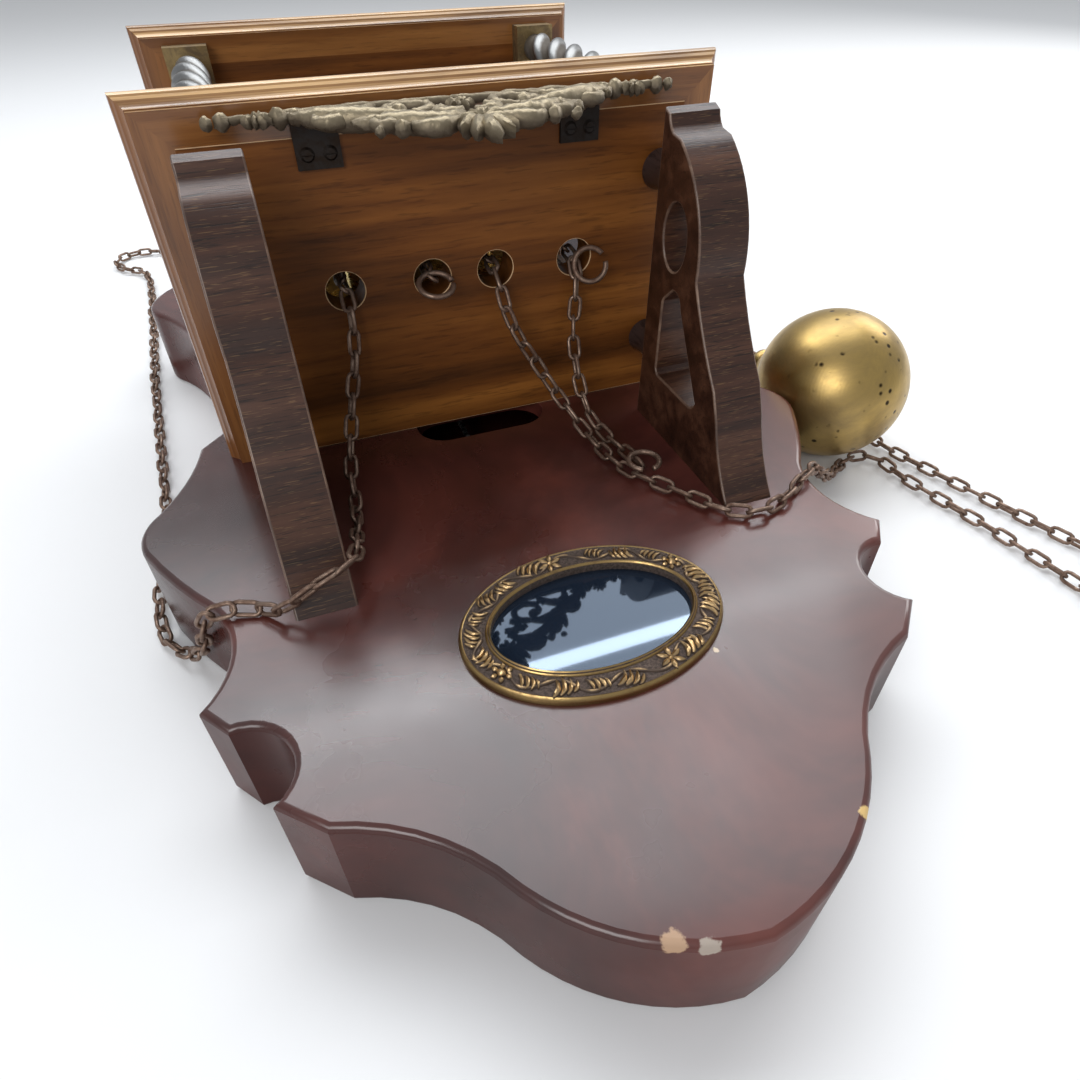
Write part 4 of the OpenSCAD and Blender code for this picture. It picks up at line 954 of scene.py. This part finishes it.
def leaf_mesh(name, leaves, rows=9, columns=6):
    """Curled leaflets, closed above and below: each is (x, y, angle, length, width, height, curl) in mm."""
    points, faces = [], []
    for x, y, angle, length, width, height, curl in leaves:
        start = len(points)
        for i in range(rows + 1):
            t = i / rows
            bend = math.radians(angle + curl * t)
            if i:
                x += math.cos(bend) * length / rows
                y += math.sin(bend) * length / rows
            half = width / 2 * math.sin(math.pi * min(1, 0.10 + 0.90 * t)) ** 0.8 + 0.05 * width * (1 - t)
            for k in range(2 * columns):
                a = math.pi * k / columns
                across = half * math.cos(a)
                ridge = 1 - 0.45 * abs(math.cos(a)) + 0.15 * math.cos(3 * a) ** 2
                up = height * math.sin(a) * ridge * (0.35 + 0.65 * math.sin(math.pi * (0.08 + 0.86 * t)))
                points.append((Vector((x - math.sin(bend) * across, y + math.cos(bend) * across, up))) * MM)
        size = 2 * columns
        for i in range(rows):
            for k in range(size):
                m = (k + 1) % size
                a, b = start + i * size, start + (i + 1) * size
                faces.append((a + k, a + m, b + m, b + k))
        faces.append(tuple(start + k for k in reversed(range(size))))
        faces.append(tuple(start + rows * size + k for k in range(size)))
    mesh = mesh_from(name, points, faces)
    flip_outward(mesh)
    return mesh


def model(name, mesh):
    """An unlinked object that a tree can copy."""
    mesh.shade_smooth()
    return bpy.data.objects.new(name, mesh)


def around_point(step, radius, *leaf):
    """Leaves set round a centre every so many degrees, as petals are."""
    return [(radius * math.cos(math.radians(a)), radius * math.sin(math.radians(a)), a, *leaf)
            for a in range(0, 360, step)]


print("trees:", [tree.name for tree in bpy.data.node_groups])

# %% [markdown]
# ## The window's ring
# The ring round the pendulum window is cast brass: a plain bright rim outside, a narrow one inside, and
# between them a stippled dark ground with a winding stem, sprays of leaves and a few flowers. The ring
# itself is one section swept round an oval, with a finish for each part of the section.

# %% Ring section
OVAL_X, OVAL_Y = 47.5, 34
RING_SECTION = [
    # distance in from the outer edge, height over the board, finish of the face that follows
    (0.0, 0.05, 0), (0.0, 1.3, 0), (0.1, 1.7, 0), (0.6, 2.75, 0), (0.95, 3.0, 0), (1.3, 2.75, 1),
    (3.5, 2.65, 1), (6.0, 2.65, 1), (9.1, 2.8, 0), (9.3, 3.3, 0), (9.6, 3.5, 0), (9.9, 3.25, 1),
    (10.15, 3.6, 0), (10.5, 3.9, 0), (11.0, 3.4, 1), (11.0, 0.05, 0)]


def oval_point(t, inward, height=0.0):
    """A point on the window's ring, t in degrees round it and so far in from its outer edge."""
    a = math.radians(t)
    x, y = (OVAL_X - inward) * math.cos(a), (OVAL_Y - inward) * math.sin(a)
    return Vector((x, LENS_Y + y, CASE_T + height))


def swept_ring(name, section, steps=180):
    """The section carried once round the oval, closed on itself."""
    points, faces, finishes = [], [], []
    n = len(section)
    for i in range(steps):
        points += [oval_point(360 * i / steps, inward, height) * MM for inward, height, _ in section]
    for i in range(steps):
        j = (i + 1) % steps
        for k in range(n):
            m = (k + 1) % n
            faces.append((i * n + k, j * n + k, j * n + m, i * n + m))
            finishes.append(section[k][2])
    mesh = mesh_from(name, points, faces)
    flip_outward(mesh)
    mesh.polygons.foreach_set("material_index", finishes)
    return mesh


lens_ring = piece("lens_ring_cast", swept_ring("lens_ring_cast", RING_SECTION), smooth=50)
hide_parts("lens_ring")
wear(lens_ring, RING_BRASS, "ring_brass", RING_GROUND)
print("ring section:", len(RING_SECTION), "points, ring:", len(lens_ring.data.polygons), "faces")

# %% [markdown]
# ### Relief on the ring
# The stem winds round the ring like a sine wave. Leaf sprays sit on it every 16 degrees or so, turned
# over where it bends the other way, and they leave room for two flowers and two rosettes.

# %% Stem, leaves and flowers on the ring
WAVES = 11
GROUND = 2.65


def stem_at(t):
    return oval_point(t, 5.4 + 2.5 * math.sin(math.radians(WAVES * t)), GROUND)


stem = [(*stem_at(t), 0.68 + 0.18 * math.sin(math.radians(3 * WAVES * t))) for t in range(0, 361, 4)]
grown("ring_stem", stem_curves("ring_stem", [stem]), STEMS, {
    "Steps": 3, "Flatten": 1.0, "Finish": RELIEF_GOLD}, smooth=180)

spray = model("spray_model", leaf_mesh("spray", [
    (-3.6, -2.6, 14, 7.0, 1.9, 1.25, 96), (-1.4, -2.8, 20, 7.0, 1.9, 1.25, 92),
    (0.8, -2.8, 24, 6.2, 1.8, 1.2, 84), (2.8, -2.6, 26, 4.8, 1.5, 1.1, 70)]))
flower = model("flower_model", leaf_mesh(
    "flower", around_point(60, 0.7, 4.3, 2.3, 1.3, 8) + [(-1.0, 0, 0, 2.0, 2.0, 1.7, 0)]))
rosette = model("rosette_model", leaf_mesh(
    "rosette", around_point(60, 1.7, 2.3, 2.1, 1.5, 0) + [(-1.7, 0, 0, 3.4, 3.2, 2.1, 0)]))
FLOWERS = [97, 292]
ROSETTES = [28, 207]


def heading(t):
    """The way the ring runs at t, in degrees."""
    ahead = oval_point(t + 1, 5.5) - oval_point(t - 1, 5.5)
    return math.degrees(math.atan2(ahead.y, ahead.x))


chance = random.Random(SEED)
sprays = []
for number in range(22):
    t = 360 * (number + 0.5) / 22 + chance.uniform(-2, 2)
    if min(abs((t - f + 180) % 360 - 180) for f in FLOWERS + ROSETTES) < 7:
        continue
    over = 1 if math.sin(math.radians(WAVES * t)) < 0 else 0
    way = heading(t) + chance.uniform(-18, 18)
    sprays.append((*oval_point(t, 5.0, GROUND), way, chance.uniform(0.85, 1.15), over))
flowers = [(*oval_point(t, 5.3, GROUND), heading(t) + 10, 1.0, 0) for t in FLOWERS]
rosettes = [(*oval_point(t, 5.3, GROUND), heading(t), 1.0, 0) for t in ROSETTES]
relief = [("ring_sprays", spray, sprays, 0.0012), ("ring_flowers", flower, flowers, 0.0),
          ("ring_rosettes", rosette, rosettes, 0.0)]
for name, source, spots, amount in relief:
    grown(name, marks(name, spots), SCATTER, {"Model": source, "Uneven": amount, "Finish": RELIEF_GOLD})

# %% [markdown]
# ## The pierced apron
# A thin bronze casting is screwed under the front edge of the hood. From each end a string of beads
# leads into leaf plumes and C-scrolls, and a shell hangs at the middle. Only the right half is drawn;
# the left is its mirror image.

# %% Apron scrolls
APRON_TOP, APRON_BACK = -34.9, 175.2
HALF_APRON = [
    [(0, 1.9, 1.5), (20, 2.0, 1.4), (42, 2.2, 1.5), (60, 3.0, 1.5)],
    [(80, 4.6, 1.2), (70, 4.6, 1.3), (60, 4.4, 1.4), (52, 4.0, 1.3)],
    [(56.5, 8.5, 1.3), (50, 12.5, 2.9), (42, 17, 3.6), (33.5, 20.5, 3.4), (25.5, 21.5, 2.4), (19, 19.5, 1.2)],
    [(41, 18.5, 2.0), (46.5, 20.0, 2.1), (50.5, 17.2, 1.8), (49.2, 13.6, 1.5), (45.8, 13.6, 2.2)],
    [(19, 19.5, 1.6), (12.5, 16.5, 2.0), (12.0, 9.8, 2.0), (18, 6.2, 1.8), (25, 8.2, 1.7), (26.5, 13.5, 1.7),
     (22, 15.6, 2.4)],
    [(29, 3.2, 1.3), (33, 8.4, 2.0), (39, 11.0, 2.2), (45.5, 8.6, 1.9), (45.5, 4.8, 1.7)],
    [(38, 24.5, 1.0), (32, 25.0, 2.2), (25, 29.0, 3.0), (17, 32.5, 3.3), (9, 31.0, 2.5), (3, 25.5, 1.6)],
    [(25, 29.0, 2.0), (30.5, 31.8, 2.0), (33.8, 29.0, 1.6), (31.5, 26.2, 1.9)],
    [(2, 22.0, 1.6), (7.5, 24.0, 2.3), (11, 20.0, 1.8), (7.5, 16.0, 1.8)],
    [(6, 33.0, 1.6), (12.5, 38.5, 2.7), (19.0, 38.5, 2.3), (22.5, 34.5, 1.4)],
]
BEADS = [(84.4, 5.6, 1.9), (79.6, 5.4, 2.5), (61.5, 6.6, 2.9), (56.0, 6.4, 2.3), (45.8, 13.6, 2.6),
         (31.5, 26.2, 2.4), (22.4, 15.4, 2.9), (33.5, 36.6, 1.6), (26.0, 36.0, 2.4)]


def both_sides(stems):
    """Right and left copies of stems given as (x, depth below the hood, radius)."""
    placed = []
    for side in (1, -1):
        for stem in stems:
            placed.append([(side * x, APRON_TOP - y, 0, r) for x, y, r in stem])
    return placed


apron = grown("apron_scrolls", stem_curves("apron_scrolls", both_sides(HALF_APRON)), STEMS, {
    "Steps": 9, "Flatten": 1.15, "Height": (APRON_BACK + 3.0) * MM, "Uneven": 0.002,
    "Finish": CAST_BRONZE}, smooth=180)
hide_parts("apron")

# %% [markdown]
# ### Beads, plumes and the shell
# Four small models do for the rest of the casting: a bead, a shell, a leaf plume and the pendant. The
# scatter tree sets them on marked points, mirrored left and right.

# %% Beads, leaves and shell on the apron
shell = model("shell_model", leaf_mesh(
    "shell", around_point(40, 0.8, 4.4, 2.2, 2.2, 0) + [(-1.6, 0, 0, 3.2, 3.2, 3.0, 0)]))
plume = model("plume_model", leaf_mesh("plume", [
    (0, 0, 0, 17, 6.0, 2.8, 26), (1, 0.5, 38, 9.5, 3.2, 2.3, 34), (4.5, 1.2, 46, 8.5, 2.9, 2.1, 36),
    (1, -0.5, -26, 8.0, 2.8, 2.2, -8), (5.5, -0.6, -16, 8.0, 2.6, 2.1, 6)]))
pendant = model("pendant_model", leaf_mesh("pendant", [
    (0, 0, a, length, width, 3.6, curl) for a, length, width, curl in (
        (-90, 22, 6.5, 0), (-64, 18, 5.2, -10), (-116, 18, 5.2, 10), (-38, 14, 4.6, -16), (-142, 14, 4.6, 16),
        (-10, 9.5, 3.8, -20), (-170, 9.5, 3.8, 20), (25, 6, 3, 20), (155, 6, 3, -20), (90, 6, 3.4, 0))]
    + [(-2.6, 0, 0, 5.2, 5.2, 4.4, 0)]))
bead = model("bead_model", leaf_mesh("bead", [(-1, 0, 0, 2, 2, 1.25, 0)], rows=12, columns=9))
LEVEL = APRON_BACK + 2.8


def mirrored_marks(spots):
    """Marks on both sides for spots given as (x, depth below the hood, turn, size)."""
    placed = []
    for x, y, turn, size in spots:
        placed.append((x, APRON_TOP - y, LEVEL, turn, size, 0))
        placed.append((-x, APRON_TOP - y, LEVEL, 180 + turn, size, 1))
    return placed


ornaments = [
    ("apron_beads", bead, mirrored_marks([(x, y, 0, r) for x, y, r in BEADS])),
    ("apron_shells", shell,
     mirrored_marks([(68.6, 7.0, 0, 0.98)]) + [(0, APRON_TOP - 11, LEVEL, 10, 1.05, 0)]),
    ("apron_plumes", plume, mirrored_marks([
        (60, 6.5, 190, 0.8), (53, 11.0, 200, 0.75), (40, 24.0, 202, 0.75), (20, 32, 215, 0.7),
        (16, 24, 150, 0.5), (34, 7.5, 172, 0.5)])),
    ("apron_pendant", pendant, [(0, APRON_TOP - 35.5, LEVEL, 0, 1.0, 0)]),
]
for name, source, spots in ornaments:
    made = grown(name, marks(name, spots), SCATTER, {"Model": source, "Uneven": 0.002, "Finish": CAST_BRONZE})

# %% [markdown]
# ## Columns
# The hood's four-cornered front stands on twisted columns, turned like rope. Each is a two-lobed section
# that turns three times on its way up, made finely enough for the twist to shine without facets.

# %% Twisted columns
COLUMN_FROM, COLUMN_TO, TURNS = -12.5, 117.8, 3


def twisted(name, side, steps=220, around=40):
    """A two-lobed section turned on its way up, tapering to round at both ends."""
    points, faces = [], []
    for i in range(steps + 1):
        share = i / steps
        rise = COLUMN_FROM + (COLUMN_TO - COLUMN_FROM) * share
        twist = -side * math.radians(360 * TURNS) * share
        end = min(1.0, 9 * share, 9 * (1 - share))
        for k in range(around):
            a = 2 * math.pi * k / around
            lobe = math.cos(2 * (a - twist))
            r = 6.25 + 2.1 * end * (lobe if lobe > 0 else 0.75 * lobe) + 0.15 * end
            x, z = side * COLUMN_X + r * math.cos(a), COLUMN_Z + r * math.sin(a)
            points.append(Vector((x, rise, z)) * MM)
    for i in range(steps):
        for k in range(around):
            m = (k + 1) % around
            faces.append((i * around + k, (i + 1) * around + k, (i + 1) * around + m, i * around + m))
    faces.append(tuple(range(around)))
    faces.append(tuple(steps * around + k for k in reversed(range(around))))
    mesh = mesh_from(name, points, faces)
    flip_outward(mesh)
    return mesh


for side, name in ((-1, "column_left"), (1, "column_right")):
    column = piece(name + "_twist", twisted(name, side), smooth=60)
    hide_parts(name)
    wear(column, COLUMN_METAL, "column_metal")
    print(name, "has", len(column.data.polygons), "faces")

# %% [markdown]
# ## Dial
# Behind the door is a brass dial with a white chapter ring. Its hour numerals are built from plain
# strokes, and a scatter of thin bars gives the minute track.

# %% Numerals and minute track
DIAL_AT = Vector((0, 52.65, 142.5))
NUMERAL_R, TRACK_R = 52, 59.3


def bar_mesh(name, bars, thick=0.25):
    """Flat bars from (x0, y0, x1, y1, width) in millimetres, lying on the dial's own plane."""
    points, faces = [], []
    for x0, y0, x1, y1, width in bars:
        a, b = Vector((x0, y0, 0)), Vector((x1, y1, 0))
        side = (b - a).normalized().cross(Vector((0, 0, 1))) * width / 2
        start = len(points)
        for height in (-0.1, thick):
            up = Vector((0, 0, height))
            points += [(p + up) * MM for p in (a - side, a + side, b + side, b - side)]
        faces += [tuple(start + i for i in f) for f in (
            (0, 3, 2, 1), (4, 5, 6, 7), (0, 1, 5, 4), (1, 2, 6, 5), (2, 3, 7, 6), (3, 0, 4, 7))]
    mesh = mesh_from(name, points, faces)
    flip_outward(mesh)
    return mesh


NUMERALS = ["XII", "I", "II", "III", "IIII", "V", "VI", "VII", "VIII", "IX", "X", "XI"]
STROKES = {"I": (2.0, [(0, -4, 0, 4, 1.0)]),
           "V": (4.2, [(-1.7, 4, 0, -4, 1.1), (1.7, 4, 0, -4, 0.4)]),
           "X": (4.2, [(-1.7, 4, 1.7, -4, 1.1), (1.7, 4, -1.7, -4, 0.4)])}
bars = []
for hour, letters in enumerate(NUMERALS):
    turn = Matrix.Rotation(math.radians(-30 * hour), 3, "Z")
    across = -sum(STROKES[c][0] for c in letters) / 2
    for c in letters:
        wide, strokes = STROKES[c]
        for x0, y0, x1, y1, width in strokes:
            a = turn @ Vector((across + wide / 2 + x0, NUMERAL_R + y0, 0)) + DIAL_AT
            b = turn @ Vector((across + wide / 2 + x1, NUMERAL_R + y1, 0)) + DIAL_AT
            bars.append((a.x, a.y, b.x, b.y, width))
        across += wide
numeral_mesh = bar_mesh("dial_numerals", bars)
numeral_mesh.transform(Matrix.Translation((0, 0, DIAL_AT.z * MM)))
wear(piece("dial_numerals", numeral_mesh), DIAL_BLACK, "ring_white")

tick = model("tick_model", bar_mesh("tick", [(0, -1.2, 0, 1.2, 0.45)]))
ticks = []
for minute in range(60):
    a = math.radians(6 * minute)
    place = DIAL_AT + Vector((math.sin(a), math.cos(a), 0)) * TRACK_R
    ticks.append((*place, -6 * minute, 1.35 if minute % 5 == 0 else 0.9, 0))
grown("minute_track", marks("minute_track", ticks), SCATTER, {"Model": tick, "Finish": DIAL_BLACK})
